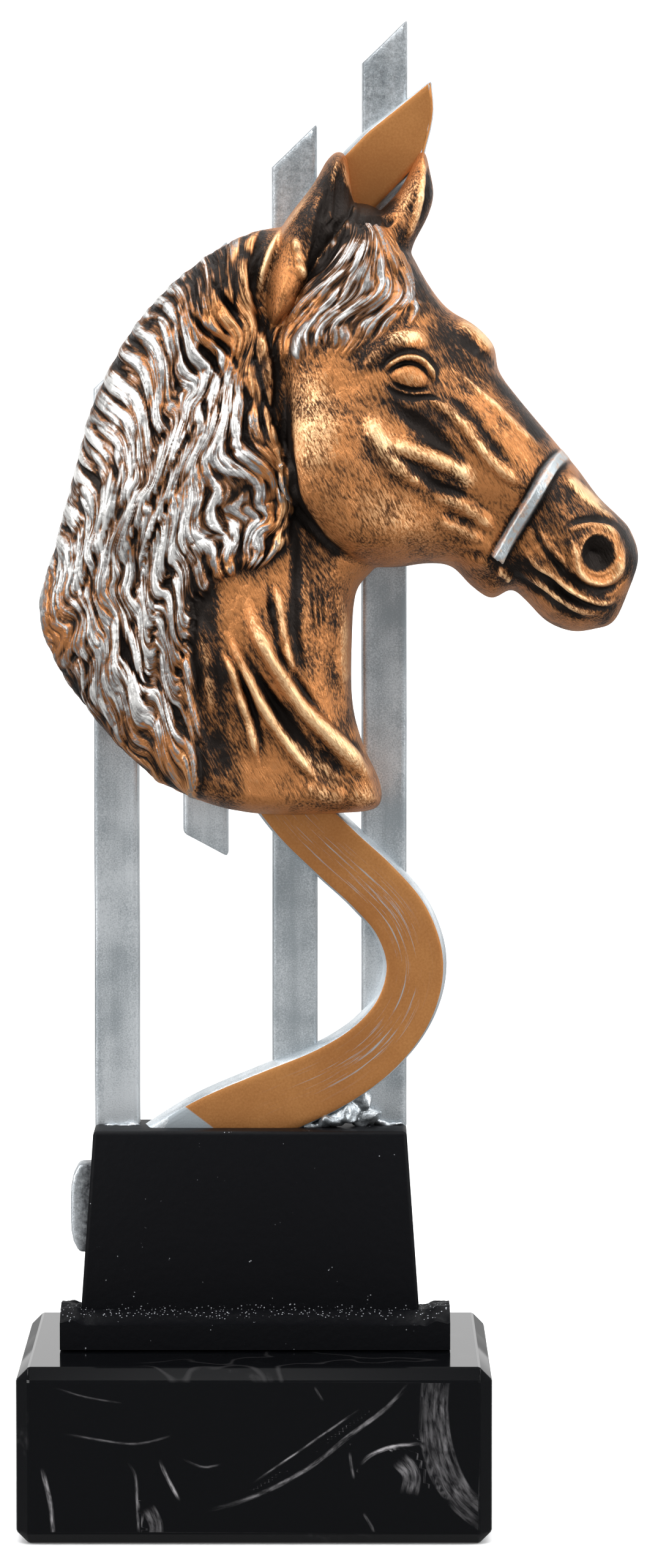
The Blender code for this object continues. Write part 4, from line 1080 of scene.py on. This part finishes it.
# Pale bronze of the rubbed high places, which also serves as painted highlight.
BRONZE_RUBBED_AND_HIGHLIT = (0.92, 0.61, 0.33, 1)
BRONZE_DULL = (0.20, 0.085, 0.032, 1)
SILVER_HAIR = (0.80, 0.79, 0.77, 1)
SILVER_HAIR_DULL = (0.21, 0.20, 0.195, 1)
SILVER_STRAP = (0.46, 0.50, 0.52, 1)
WASH = (0.014, 0.010, 0.008, 1)
BRUSH_TURN = 28
BRUSH_SCALE = 3300
BLOTCH_SCALE = 130
GRAIN_SCALE = 900

horse_paint, tree, shader = new_material("antique bronze", 0.34, 0.8)
place = object_place(tree)
brushed = object_place(tree, BRUSH_TURN, (1, 1, 0.20))
strokes = between(tree, noise_of(tree, brushed, BRUSH_SCALE, 4, 0.65), 0.34, 0.66)
on_hair = {"X": number(tree, "hair_across"), "Y": number(tree, "hair_along")}
combed = add_node(tree, "ShaderNodeCombineXYZ", on_hair).outputs[0]
hairs = between(tree, noise_of(tree, combed, 1.0, 3, 0.6), 0.34, 0.66)
hair = number(tree, "hair")
lines = add_node(tree, "ShaderNodeMix", {0: hair, 2: strokes, 3: hairs}, data_type="FLOAT").outputs[0]
blotches = between(tree, noise_of(tree, place, BLOTCH_SCALE, 4), 0.36, 0.64)
grain = between(tree, noise_of(tree, place, GRAIN_SCALE, 3), 0.36, 0.64)

# The bright bronze is partly rubbed paint and partly painted highlight.
rubbed_and_highlit = sums(tree, "MULTIPLY_ADD", lines, 0.24, number(tree, "high"))
colour = mixed(tree, between(tree, rubbed_and_highlit, 0.46, 0.92), BRONZE, BRONZE_RUBBED_AND_HIGHLIT)
silvered = sums(tree, "MULTIPLY_ADD", lines, 0.30, number(tree, "silver"))
silvered = sums(tree, "MULTIPLY_ADD", grain, 0.12, silvered)
hair_silver = mixed(tree, between(tree, silvered, 0.60, 1.05), SILVER_HAIR_DULL, SILVER_HAIR)
colour = mixed(tree, between(tree, silvered, 0.46, 0.66), colour, hair_silver)
washed = sums(tree, "MULTIPLY_ADD", lines, -0.29, sums(tree, "ADD", number(tree, "black"), 0.31))
washed = sums(tree, "MULTIPLY_ADD", blotches, 0.22, washed)
wash = between(tree, washed, 0.68, 0.94)
colour = mixed(tree, between(tree, washed, 0.52, 0.80), colour, BRONZE_DULL)
colour = mixed(tree, wash, colour, WASH)
strap = sums(tree, "MULTIPLY", number(tree, "strap"), between(tree, grain, -0.6, 0.5), clamp=True)
colour = mixed(tree, strap, colour, SILVER_STRAP)
tree.links.new(colour, shader.inputs["Base Color"])
tree.links.new(between(tree, wash, 0, 1, 0.40, 0.5), shader.inputs["Roughness"])
bump(tree, shader, sums(tree, "ADD", lines, grain), 0.45, 0.00012)
painted(horse_paint, tree)

# %% Cut the skin into pieces and paint them
BACK_OF_NECK_X = 4
MUZZLE_X = 40
EARS_Z = 206

skin.update()
smooth_normal = skin.attributes.new("smooth_normal", "FLOAT_VECTOR", "POINT")
smooth_normal.data.foreach_set("vector", vectors(skin.vertex_normals, "vector").astype(np.float32).ravel())


def part_of_skin(name, chosen):
    """A piece made of the chosen squares of the skin. It keeps the skin's normals, so no seam shows."""
    bm = bmesh.new()
    bm.from_mesh(skin)
    bm.faces.ensure_lookup_table()
    unwanted = [bm.faces[i] for i in np.flatnonzero(~chosen)]
    bmesh.ops.delete(bm, geom=unwanted, context="FACES")
    mesh = bpy.data.meshes.new(name)
    bm.to_mesh(mesh)
    bm.free()
    mesh.shade_smooth()
    kept = vectors(mesh.attributes["smooth_normal"].data, "vector")
    mesh.normals_split_custom_set_from_vertices(kept)
    mesh.attributes.remove(mesh.attributes["smooth_normal"])
    return dress(new_object(name, mesh), "resin_casting", "painted_resin", horse_paint)


start = np.empty(len(skin.polygons), np.int32)
skin.polygons.foreach_get("loop_start", start)
corners = np.empty(len(skin.loops), np.int32)
skin.loops.foreach_get("vertex_index", corners)
first = corners[start]
x, z = drawn[first].T
behind = facing[first] <= 0
noseband_side = nearest_on_line(drawn[first], smooth_line(NOSEBAND))[2]
ahead_of_cheek = read_field(reach_inside(FACE_OUTLINE), drawn[first]) > 0
regions = {
    "back_of_neck": behind & (x < BACK_OF_NECK_X),
    "back_of_face": behind,
    "mane": read_field(mane_reach, drawn[first]) > 0,
    "muzzle": (noseband_side > 0) & (x > MUZZLE_X),
    "forelock": read_field(forelock_reach, drawn[first]) > 0,
    "ears": z > EARS_Z,
    "face": ahead_of_cheek,
    "neck": np.ones(len(first), bool),
}
free = np.ones(len(first), bool)
for name, chosen in regions.items():
    part_of_skin(name, chosen & free)
    free &= ~chosen
bpy.data.meshes.remove(skin)

# %% [markdown]
# ## Silver bars
# Four flat bars stand behind the head. They were cast with it, so their faces wave a little, their edges are
# drafted, and their tops are cut at a slant. A grid is shaped into each bar's front, given its thickness, and
# its rim is bevelled. The silver paint reads how much each place is darkened, and the bars are made darker
# towards their upper part.

# %% Silver paint
SILVER = (0.40, 0.445, 0.475, 1)
SILVER_BRIGHT = (0.80, 0.84, 0.87, 1)
# Silver darkened towards black: painted shade on the ribbon's tail and on the lumps, and a darker upper part
# on the bars.
SILVER_DARKENED = (0.035, 0.037, 0.042, 1)

silver_paint, tree, shader = new_material("silver paint", 0.40, 0.9)
place = object_place(tree)
drawn_down = object_place(tree, 0, (1, 1, 0.05))
flakes = noise_of(tree, place, 4200, 1)
runs = noise_of(tree, drawn_down, 420, 3)
cloud = noise_of(tree, place, 60, 3)
tone = sums(tree, "MULTIPLY_ADD", flakes, 0.5, sums(tree, "MULTIPLY_ADD", runs, 0.35, cloud))
colour = mixed(tree, between(tree, tone, 0.70, 1.14), SILVER, SILVER_BRIGHT)
# How much each place is darkened: painted shade on the tail and the lumps, a darker top on the bars.
darkened = sums(tree, "MULTIPLY_ADD", noise_of(tree, place, 900, 4, 0.7), 0.6, number(tree, "darkening"))
colour = mixed(tree, between(tree, darkened, 0.60, 1.20), colour, SILVER_DARKENED)
tree.links.new(colour, shader.inputs["Base Color"])
bump(tree, shader, sums(tree, "ADD", flakes, runs), 0.22, 0.0002)
painted(silver_paint, tree)

# %% Shape of the bars
FOOT_TOP = 0.0671
BAR_WIDTH = 0.0074
BAR_PITCH = 0.0153
BAR_LEFT = -0.02755
BAR_TOPS = (0.1335, 0.1513, 0.1711, 0.1887)
BAR_SLANT = 0.0073
BAR_FRONT = 0.001
BAR_THICKNESS = 0.004
BAR_SINK = 0.001
BAR_EDGE = 0.00055
SHORT_BAR = 1
SHORT_BAR_BOTTOM = 0.0462
SHORT_BAR_SLANT = 0.0040
BAR_ROWS = 90
BAR_COLUMNS = 8
BAR_WAVE = 0.00010
BAR_DISH = 0.00018
BAR_DRAFT = 1.07
BAR_TOP_DARKENING = 0.5
BAR_TOP_DARKENING_FROM_TO = (0.19, 0.235)


def silver_bar(index):
    """A flat bar with a slanted top and drafted sides. The short one ends in a slant below too."""
    left = BAR_LEFT + index * BAR_PITCH
    top = FOOT_TOP + BAR_TOPS[index]
    bottom = FOOT_TOP - BAR_SINK
    low_slant = 0.0
    if index == SHORT_BAR:
        bottom = FOOT_TOP + SHORT_BAR_BOTTOM
        low_slant = -SHORT_BAR_SLANT
    bm = bmesh.new()
    bmesh.ops.create_grid(bm, x_segments=BAR_COLUMNS, y_segments=BAR_ROWS, size=0.5)
    darkening_layer = bm.verts.layers.float.new("darkening")
    for vert in bm.verts:
        across, up = vert.co.x + 0.5, vert.co.y + 0.5
        low = bottom - low_slant * (1 - across)
        high = top - BAR_SLANT * (1 - across)
        x, z = left + across * BAR_WIDTH, low + up * (high - low)
        sway = BAR_WAVE * noise.noise(Vector((index * 9, z * 28, 0)))
        swell = BAR_WAVE * noise.noise(Vector((x * 160, z * 50, index)))
        dish = BAR_DISH * (1 - (2 * across - 1) ** 2)
        vert[darkening_layer] = BAR_TOP_DARKENING * float(smoothstep(z, *BAR_TOP_DARKENING_FROM_TO))
        vert.co = (x + sway, BAR_FRONT + swell + dish, z)
    middle = left + BAR_WIDTH / 2
    for vert in extruded(bm, bm.faces[:]):
        vert.co.x = middle + (vert.co.x - middle) * BAR_DRAFT
        vert.co.y = BAR_FRONT + BAR_THICKNESS
    bevelled(bm, sharp_edges(bm, 1.0), BAR_EDGE)
    piece = new_object(f"silver_bar_{index + 1}", bm, 40)
    return dress(piece, "resin_casting", "painted_resin", silver_paint)


for index in range(len(BAR_TOPS)):
    silver_bar(index)

# %% [markdown]
# ## The ribbon
# A flat band, copper in front and silver at its sides, comes from the upper right, winds behind the head and
# swings out below the neck before it runs into the foot. It is a long grid bent along a curve. How far along
# and across each point lies is kept on the mesh, so scuffs can follow the bend. Two more numbers say how far
# a point lies from the line where the copper ends, and how much painted shade darkens the silver tail beyond
# it, where the tail lies behind the foot.

# %% Copper paint
COPPER = (0.37, 0.150, 0.044, 1)
COPPER_BRIGHT = (0.53, 0.245, 0.080, 1)

copper_paint, tree, shader = new_material("copper paint", 0.42, 0.75)
place = object_place(tree)
speckle = noise_of(tree, place, 2600, 2)
cloud = noise_of(tree, place, 45, 3)
tone = between(tree, sums(tree, "MULTIPLY_ADD", speckle, 0.4, cloud), 0.5, 1.0)
colour = mixed(tree, tone, COPPER, COPPER_BRIGHT)
on_ribbon = {"X": number(tree, "along"), "Y": number(tree, "across")}
run = add_node(tree, "ShaderNodeCombineXYZ", on_ribbon).outputs[0]
stretched = add_node(tree, "ShaderNodeMapping", {"Vector": run, "Scale": (5, 9, 1)}).outputs[0]
lines = noise_of(tree, stretched, 3, 5, 0.7)
scuffed = sums(tree, "MULTIPLY", between(tree, lines, 0.55, 0.64), number(tree, "scuff"), clamp=True)
colour = mixed(tree, scuffed, colour, SILVER)
colour = mixed(tree, between(tree, number(tree, "copper"), -0.12, 0.12), SILVER, colour)
tree.links.new(colour, shader.inputs["Base Color"])
bump(tree, shader, sums(tree, "ADD", speckle, lines), 0.15, 0.0002)
painted(copper_paint, tree)

# %% Shape of the ribbon
RIBBON_LINE = (
    (22.5, 232.9), (13.8, 223.6), (7.5, 214), (0, 202), (-7.5, 188), (-11, 171), (-8.5, 152), (0.5, 131),
    (6.6, 121.4), (13.7, 114.2), (20, 108.4), (25, 102.4), (27.3, 95), (25.6, 87.4), (20.6, 80.8),
    (13, 75.5), (3, 71), (-8, 66), (-18, 59.6),
)
RIBBON_WIDTH = 10.0
RIBBON_TAIL_WIDTH = 12.0
TAIL_LEFT = -31.7
TAIL_Z = 52.9
TAIL_HALF = 7.6
RIBBON_FRONT = -0.0035
RIBBON_THICKNESS = 0.0060
RIBBON_EDGE = 0.0006
RIBBON_COLUMNS = 300
RIBBON_ROWS = 8
RIBBON_TIP = ((28.6, 232.0), (30.3, 239.4), (29.9, 245.2))
RIBBON_DRAFT = 0.6
TAIL_CORNER = 1.4
COPPER_END = ((-10.5, 69.3), (-6.3, 66.1))
COPPER_FROM_X = -15.0
TAIL_WIDENS = (0.72, 0.95)
TAIL_STRAIGHT = 4
TAIL_SHADE = (0.42, 0.78)
TAIL_SHADE_OVER = 3.5
TAIL_SHADE_TO_X = -22.0
SCUFF_MIDDLE = 0.55
SCUFF_HALF = 0.34
RIBBON_WAVE = 0.1


def ribbon_rows(extra):
    """Points along the ribbon in rows from its lower edge to its upper one, with both edges moved out."""
    middle = smooth_line(RIBBON_LINE)
    run = np.gradient(middle, axis=0)
    side = run[:, ::-1] * (1, -1) / np.hypot(run[:, 0], run[:, 1])[:, None]
    share = smoothstep(np.linspace(0, 1, len(middle)), *TAIL_WIDENS)
    half = (RIBBON_WIDTH + (RIBBON_TAIL_WIDTH - RIBBON_WIDTH) * share) / 2 + extra
    tip = evenly(smooth_line(RIBBON_TIP), RIBBON_ROWS + 1)
    rows = []
    for k in range(RIBBON_ROWS + 1):
        across = 2 * k / RIBBON_ROWS - 1
        tail = np.array([TAIL_LEFT + TAIL_CORNER * across**4, TAIL_Z + across * TAIL_HALF])
        band = middle + side * (half * across)[:, None]
        rows.append(evenly(np.vstack([tip[k], band, tail + (TAIL_STRAIGHT, 0), tail]), RIBBON_COLUMNS + 1))
    return rows


front_rows, back_rows = ribbon_rows(0), ribbon_rows(RIBBON_DRAFT)
bm = bmesh.new()
bmesh.ops.create_grid(bm, x_segments=RIBBON_COLUMNS, y_segments=RIBBON_ROWS, size=0.5)
layers = [bm.verts.layers.float.new(name) for name in ("along", "across", "scuff", "copper", "darkening")]
along_layer, across_layer, scuff_layer, copper_layer, darkening_layer = layers
end = Vector(COPPER_END[0])
across_end = (Vector(COPPER_END[1]) - end).orthogonal().normalized()
for vert in bm.verts:
    along, across = vert.co.x + 0.5, vert.co.y + 0.5
    x, z = front_rows[round(across * RIBBON_ROWS)][round(along * RIBBON_COLUMNS)]
    vert[along_layer] = along
    vert[across_layer] = across
    worn = smoothstep(along, 0.48, 0.56) * smoothstep(0.86 - along, 0, 0.12)
    vert[scuff_layer] = float(worn * smoothstep(SCUFF_HALF - abs(across - SCUFF_MIDDLE), 0, 0.22))
    vert[copper_layer] = (Vector((x, z)) - end).dot(across_end)
    # Painted shade: the silver tail is darker where it lies behind the foot.
    inward = smoothstep(x, TAIL_LEFT, TAIL_LEFT + TAIL_SHADE_OVER)
    darkened = TAIL_SHADE[0] + (TAIL_SHADE[1] - TAIL_SHADE[0]) * inward
    vert[darkening_layer] = float(darkened) if x < TAIL_SHADE_TO_X else 0.0
    wave = RIBBON_WAVE * noise.noise(Vector((x, z, 3)) * 0.12)
    vert.co = (x * DRAWING, RIBBON_FRONT + wave * DRAWING, z * DRAWING + DRAWING_LIFT)
for vert in extruded(bm, bm.faces[:]):
    x, z = back_rows[round(vert[across_layer] * RIBBON_ROWS)][round(vert[along_layer] * RIBBON_COLUMNS)]
    vert.co = (x * DRAWING, RIBBON_FRONT + RIBBON_THICKNESS, z * DRAWING + DRAWING_LIFT)
bevelled(bm, sharp_edges(bm, 0.9), RIBBON_EDGE)
for flat in bm.faces:
    on_band = flat.normal.y < -0.9 and flat.calc_center_median().x > COPPER_FROM_X * DRAWING
    flat.material_index = 0 if on_band else 1
dress(new_object("ribbon", bm, 40), "resin_casting", "painted_resin", copper_paint, silver_paint)

# %% [markdown]
# Where the ribbon runs into the foot the mould left lumps of resin, which were painted over with silver.
# Their silver is darkened with painted shade, as they sit low against the foot. The seed gives them the same
# uneven shapes in every run.

# %% Lumps of cast resin
LUMPS = (
    ((12.8, -2.4, 68), (2.6, 1.3, 1.3)), ((15.4, -2, 69.4), (2.6, 1.4, 1.7)),
    ((18, -1.2, 71.6), (1.7, 1.2, 2)), ((18.8, -0.4, 68.6), (2.6, 1.4, 1.6)),
    ((9.8, -1.6, 67.4), (2.4, 1.4, 0.8)), ((-24.2, 0.4, 67.1), (2.6, 0.9, 0.5)),
    ((-21.8, 0.6, 67), (1.8, 0.9, 0.4)), ((22.8, 0.4, 67.3), (2.6, 1.1, 0.6)),
    ((5, 0.8, 67.2), (3, 1, 0.5)),
)
LUMP_VOXEL = 0.00022
LUMP_SHADE = 0.58
LUMP_ROUGHNESS = ((0.0008, 420), (0.00025, 1300))
LUMP_SEED = 7

noise.seed_set(LUMP_SEED)
bm = bmesh.new()
for centre, radii in LUMPS:
    ball = bmesh.ops.create_icosphere(bm, subdivisions=4, radius=1)["verts"]
    bmesh.ops.scale(bm, vec=Vector(radii) * DRAWING, verts=ball)
    bmesh.ops.translate(bm, vec=Vector(centre) * DRAWING, verts=ball)
    for vert in ball:
        coarse, fine = (size * noise.noise_vector(vert.co * scale) for size, scale in LUMP_ROUGHNESS)
        vert.co += coarse + fine
lumps = new_object("resin_lumps", remeshed(new_object("balls", bm), LUMP_VOXEL, 3), 80)
# Painted shade: all the lumps' silver is darkened, as they sit low against the foot.
keep_numbers(lumps.data, {"darkening": np.full(len(lumps.data.vertices), LUMP_SHADE)})
dress(lumps, "resin_casting", "painted_resin", silver_paint)

# %% [markdown]
# ## The black foot
# The casting stands on a tapered block with a rough flange, brushed satin black over the resin. Grit in the
# paint catches the light as fine specks, most of all where the flange meets the block.

# %% Satin black paint
BLACK = (0.0022, 0.0024, 0.0032, 1)
SPECK = (0.30, 0.31, 0.33, 1)
GLITTER_Z = 0.0364
GRIT_SCALE = 1900.0

foot_paint, tree, shader = new_material("satin black paint", 0.5, 0.0)
shader.inputs["Specular IOR Level"].default_value = 0.08
place = object_place(tree)
cells = add_node(tree, "ShaderNodeTexVoronoi", {"Vector": place, "Scale": GRIT_SCALE}, feature="F1")
grit = cells.outputs["Distance"]
where = noise_of(tree, place, 500, 2)
height_up = add_node(tree, "ShaderNodeSeparateXYZ", {"Vector": place}).outputs["Z"]
from_joint = sums(tree, "ABSOLUTE", sums(tree, "SUBTRACT", height_up, GLITTER_Z))
chance = sums(tree, "MULTIPLY_ADD", between(tree, from_joint, 0.0014, 0.0004), 0.28, where)
speck = sums(tree, "MULTIPLY", between(tree, grit, 0.27, 0.13), between(tree, chance, 0.66, 0.72), clamp=True)
colour = mixed(tree, speck, BLACK, SPECK)
tree.links.new(colour, shader.inputs["Base Color"])
bump(tree, shader, noise_of(tree, place, 700, 4), 0.35, 0.0003)
painted(foot_paint, tree)

# %% Block and flange
BLOCK_TOP_WIDTH = 0.0535
BLOCK_BOTTOM_WIDTH = 0.0583
BLOCK_X = -0.0009
BLOCK_DEPTH = 0.016
BLOCK_HEIGHT = 0.0326
BLOCK_SUNK = 0.0015
BLOCK_WHOLE = BLOCK_HEIGHT + BLOCK_SUNK
BLOCK_EDGE = 0.0007
FLANGE_WIDTH = 0.0665
FLANGE_DEPTH = 0.026
FLANGE_LOW = 0.0303
FLANGE_HEIGHT = 0.0042
FLANGE_SLOPE = 0.0020
FLANGE_LUMP = 0.0012
FLANGE_LUMP_WIDTH = 0.0022
FLANGE_BACK_DROP = 0.0022
FLANGE_BACK_FROM_TO = (-0.004, 0.008)

bm = bmesh.new()
bmesh.ops.create_cube(bm, size=1)
bmesh.ops.scale(bm, vec=(BLOCK_BOTTOM_WIDTH, BLOCK_DEPTH, BLOCK_WHOLE), verts=bm.verts)
bmesh.ops.translate(bm, vec=(0, 0, FOOT_TOP - BLOCK_WHOLE / 2), verts=bm.verts)
crown = [v for v in bm.verts if v.co.z > FOOT_TOP - 1e-6]
bmesh.ops.scale(bm, vec=(BLOCK_TOP_WIDTH / BLOCK_BOTTOM_WIDTH, 1, 1), verts=crown)
bmesh.ops.translate(bm, vec=(BLOCK_X, 0, 0), verts=bm.verts)
bevelled(bm, bm.edges[:], BLOCK_EDGE, 3)
dress(new_object("foot_block", bm, 40), "resin_casting", "painted_resin", foot_paint)

bm = bmesh.new()
bmesh.ops.create_grid(bm, x_segments=150, y_segments=60, size=0.5)
lump_from_to = (FLANGE_WIDTH / 2 - 2 * FLANGE_LUMP_WIDTH, FLANGE_WIDTH / 2 - FLANGE_LUMP_WIDTH)
for vert in bm.verts:
    x, y = vert.co.x * FLANGE_WIDTH, vert.co.y * FLANGE_DEPTH
    inward = float(smoothstep(FLANGE_DEPTH / 2 - abs(y), 0, (FLANGE_DEPTH - BLOCK_DEPTH) / 2))
    end = float(smoothstep(abs(x), *lump_from_to))
    back = float(smoothstep(y, *FLANGE_BACK_FROM_TO))
    rough = 0.5 + 0.5 * noise.noise(Vector((x, y, 0)) * 420)
    fine = 0.00018 * noise.noise(Vector((x, y, 0.3)) * 1500)
    rise = FLANGE_SLOPE * inward + FLANGE_LUMP * end * rough - FLANGE_BACK_DROP * back
    vert.co = (x, y, FLANGE_LOW + FLANGE_HEIGHT + rise + fine)
for vert in extruded(bm, bm.faces[:]):
    vert.co.z = FLANGE_LOW
dress(new_object("foot_flange", bm, 50), "resin_casting", "painted_resin", foot_paint)

# %% [markdown]
# ## The marble block
# Black marble is limestone with thin white seams of calcite. The stone is polished like glass, so the shader
# is dark and smooth. Everywhere but on the front face the seams are noise lines: where a soft noise passes
# its middle value, a thin line shows, and a second, larger noise keeps the lines to a few places. The front
# face has drawn seams, told to the shader by numbers kept on the mesh.

# %% Black marble
STONE = (0.0016, 0.0018, 0.0023, 1)
CALCITE = (0.30, 0.29, 0.30, 1)
VEIN_STRENGTH = 0.05
SMOKE_STRENGTH = 0.07
STREAKS_ALONG = 0.14
VEIN_WANDER = (0.02, 0.02, 0.02)

marble, tree, shader = new_material("black marble", 0.10, 0.0)
shader.inputs["Specular IOR Level"].default_value = 0.15
place = object_place(tree, 35, (1, 1, 0.6))
bend = add_node(tree, "ShaderNodeTexNoise", {"Vector": place, "Scale": 35.0, "Detail": 3.0}).outputs["Color"]
wander = add_node(tree, "ShaderNodeVectorMath", {0: bend, 1: VEIN_WANDER}, operation="MULTIPLY").outputs[0]
bent = add_node(tree, "ShaderNodeVectorMath", {0: place, 1: wander}, operation="ADD").outputs[0]
seam = sums(tree, "ABSOLUTE", sums(tree, "SUBTRACT", noise_of(tree, bent, 38, 2), 0.5))
keep = noise_of(tree, place, 22, 2)
veins = sums(tree, "MULTIPLY", between(tree, seam, 0.012, 0.0), between(tree, keep, 0.52, 0.62), clamp=True)
smoke = sums(tree, "MULTIPLY", between(tree, noise_of(tree, bent, 60, 5, 0.7), 0.60, 0.75), SMOKE_STRENGTH)
veins = sums(tree, "MAXIMUM", sums(tree, "MULTIPLY", veins, VEIN_STRENGTH), smoke)
veins = sums(tree, "MULTIPLY", veins, sums(tree, "SUBTRACT", 1.0, number(tree, "front")))
seam_side = number(tree, "seam_side")
from_middle = sums(tree, "ABSOLUTE", seam_side)
in_seam = between(tree, sums(tree, "SUBTRACT", number(tree, "seam_half"), from_middle), 0.0, 0.4)
run = sums(tree, "MULTIPLY", number(tree, "seam_along"), STREAKS_ALONG)
in_streaks = add_node(tree, "ShaderNodeCombineXYZ", {"X": seam_side, "Y": run}).outputs[0]
streaks = between(tree, noise_of(tree, in_streaks, 1.5, 4, 0.6), 0.32, 0.72)
grains = between(tree, noise_of(tree, place, 700, 3), 0.15, 0.60)
chalky = sums(tree, "MULTIPLY", streaks, grains)
drawn_veins = sums(tree, "MULTIPLY", chalky, number(tree, "seam"), clamp=True)
drawn_veins = sums(tree, "MULTIPLY", drawn_veins, in_seam, clamp=True)
colour = mixed(tree, sums(tree, "MAXIMUM", veins, drawn_veins), STONE, CALCITE)
tree.links.new(colour, shader.inputs["Base Color"])
painted(marble, tree)

# %% [markdown]
# The seams on the front face are drawn where they lie on the real block. That face is cut into a fine grid,
# and every point of it is told how much calcite the nearest seam holds, how far to its side the point lies
# and how far along it. The shader turns these smooth numbers into thin lines, finer than the grid itself.

# %% Seams of the front face, in millimetres: path, half width and amount
SEAMS = (
    (((-0.5, 10.5), (8, 16.4), (17.8, 23.3)), 0.28, 0.9),
    (((-8.1, 6), (-2.7, 7.4), (3.9, 10.2), (10.4, 14.1), (15.9, 18.6), (22.4, 23.6), (26.8, 28.4)),
     0.5, 0.5),
    (((30.9, 31), (30.2, 24), (31, 17), (32.8, 11.5), (35.6, 7.2), (40.6, 3.4)), 2.5, 0.27),
    (((28, 25), (28.3, 17.5), (30, 11.5), (33, 7.4), (38.6, 3.8)), 0.5, 0.45),
    (((17.8, 13.8), (19.7, 15.5), (23.5, 16.9), (28.4, 17.4)), 0.45, 1.3),
    (((24.4, 14.8), (26.4, 12.2), (26, 8.6)), 1.7, 0.40),
    (((16.1, 16), (16.4, 13.4), (16.8, 11.3)), 0.35, 0.8),
    (((-15.8, 14.7), (-14.7, 11.9), (-12.5, 7.7)), 0.42, 1.2),
    (((-21.2, 14.4), (-19.9, 11.9), (-19.6, 6.8), (-19.3, 1.2)), 0.35, 0.7),
    (((-32.1, 19.1), (-24, 17.7), (-19, 17.4), (-13.6, 18.8)), 0.3, 0.55),
    (((-33.8, 27), (-28.3, 25.3), (-21.8, 24.2)), 0.25, 0.4),
    (((-35.6, 13.4), (-34.2, 7.2), (-33.6, 0.7)), 0.5, 1),
    (((-17.8, 6.6), (-16.4, 3.4), (-16.8, 0.6)), 1.3, 0.35),
    (((-11.9, 14.8), (-8.6, 13.4), (-5.6, 13.8)), 0.3, 0.5),
    (((18.4, 5.6), (19.6, 3.6), (20.2, 2.2)), 0.35, 0.7),
    (((10.2, 27), (11.6, 24.6)), 0.3, 0.6),
)
print("seams", len(SEAMS))

# %% Chamfered block
CHAMFER = 0.0021
ARRIS = 0.00025
FRONT_CUTS = 120
SEAM_MARGIN = 0.68
SEAM_FADE = 0.25
SEAM_BREAKS = 1.9

bm = bmesh.new()
bmesh.ops.create_cube(bm, size=1)
bmesh.ops.scale(bm, vec=marble_high - marble_low, verts=bm.verts)
bmesh.ops.translate(bm, vec=(marble_high + marble_low) / 2, verts=bm.verts)
for offset in (CHAMFER, ARRIS):
    bevelled(bm, bm.edges[:], offset, 1)
faces = (f for f in bm.faces if f.normal.y < -0.99)
front_face = max(faces, key=lambda f: f.calc_area())
bmesh.ops.subdivide_edges(bm, edges=front_face.edges[:], cuts=FRONT_CUTS, use_grid_fill=True)
block = new_object("marble_block", bm, 20)
place = vectors(block.data.vertices, "co")
on_front = place[:, 1] < marble_low.y + 1e-5
drawn = place[:, (0, 2)] / DRAWING
nearest = np.full(len(drawn), np.inf)
second = nearest.copy()
seams = {name: np.zeros(len(drawn)) for name in ("seam", "seam_side", "seam_half", "seam_along")}
for path, half, amount in SEAMS:
    line = smooth_line(path)
    dist, along, side = nearest_on_line(drawn, line)
    closer = dist - half < nearest
    second = np.minimum(second, np.maximum(nearest, dist - half))
    nearest[closer] = (dist - half)[closer]
    broken = 0.5 + soft_noise(*(drawn.T / SEAM_BREAKS + 40), 61)
    there = amount * broken * faded(along, SEAM_FADE) * (dist < half + SEAM_MARGIN) * on_front
    length = np.hypot(*np.diff(line, axis=0).T).sum()
    for name, values in zip(seams, (there, side * dist, np.full(len(drawn), half), along * length)):
        seams[name][closer] = values[closer]
seams["seam"] *= smoothstep(second - nearest, 0, SEAM_MARGIN)
keep_numbers(block.data, {**seams, "front": on_front})
dress(block, "marble_base", "black_marble", marble)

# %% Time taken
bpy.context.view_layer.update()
print("made in", round(time.time() - STARTED, 1), "s")
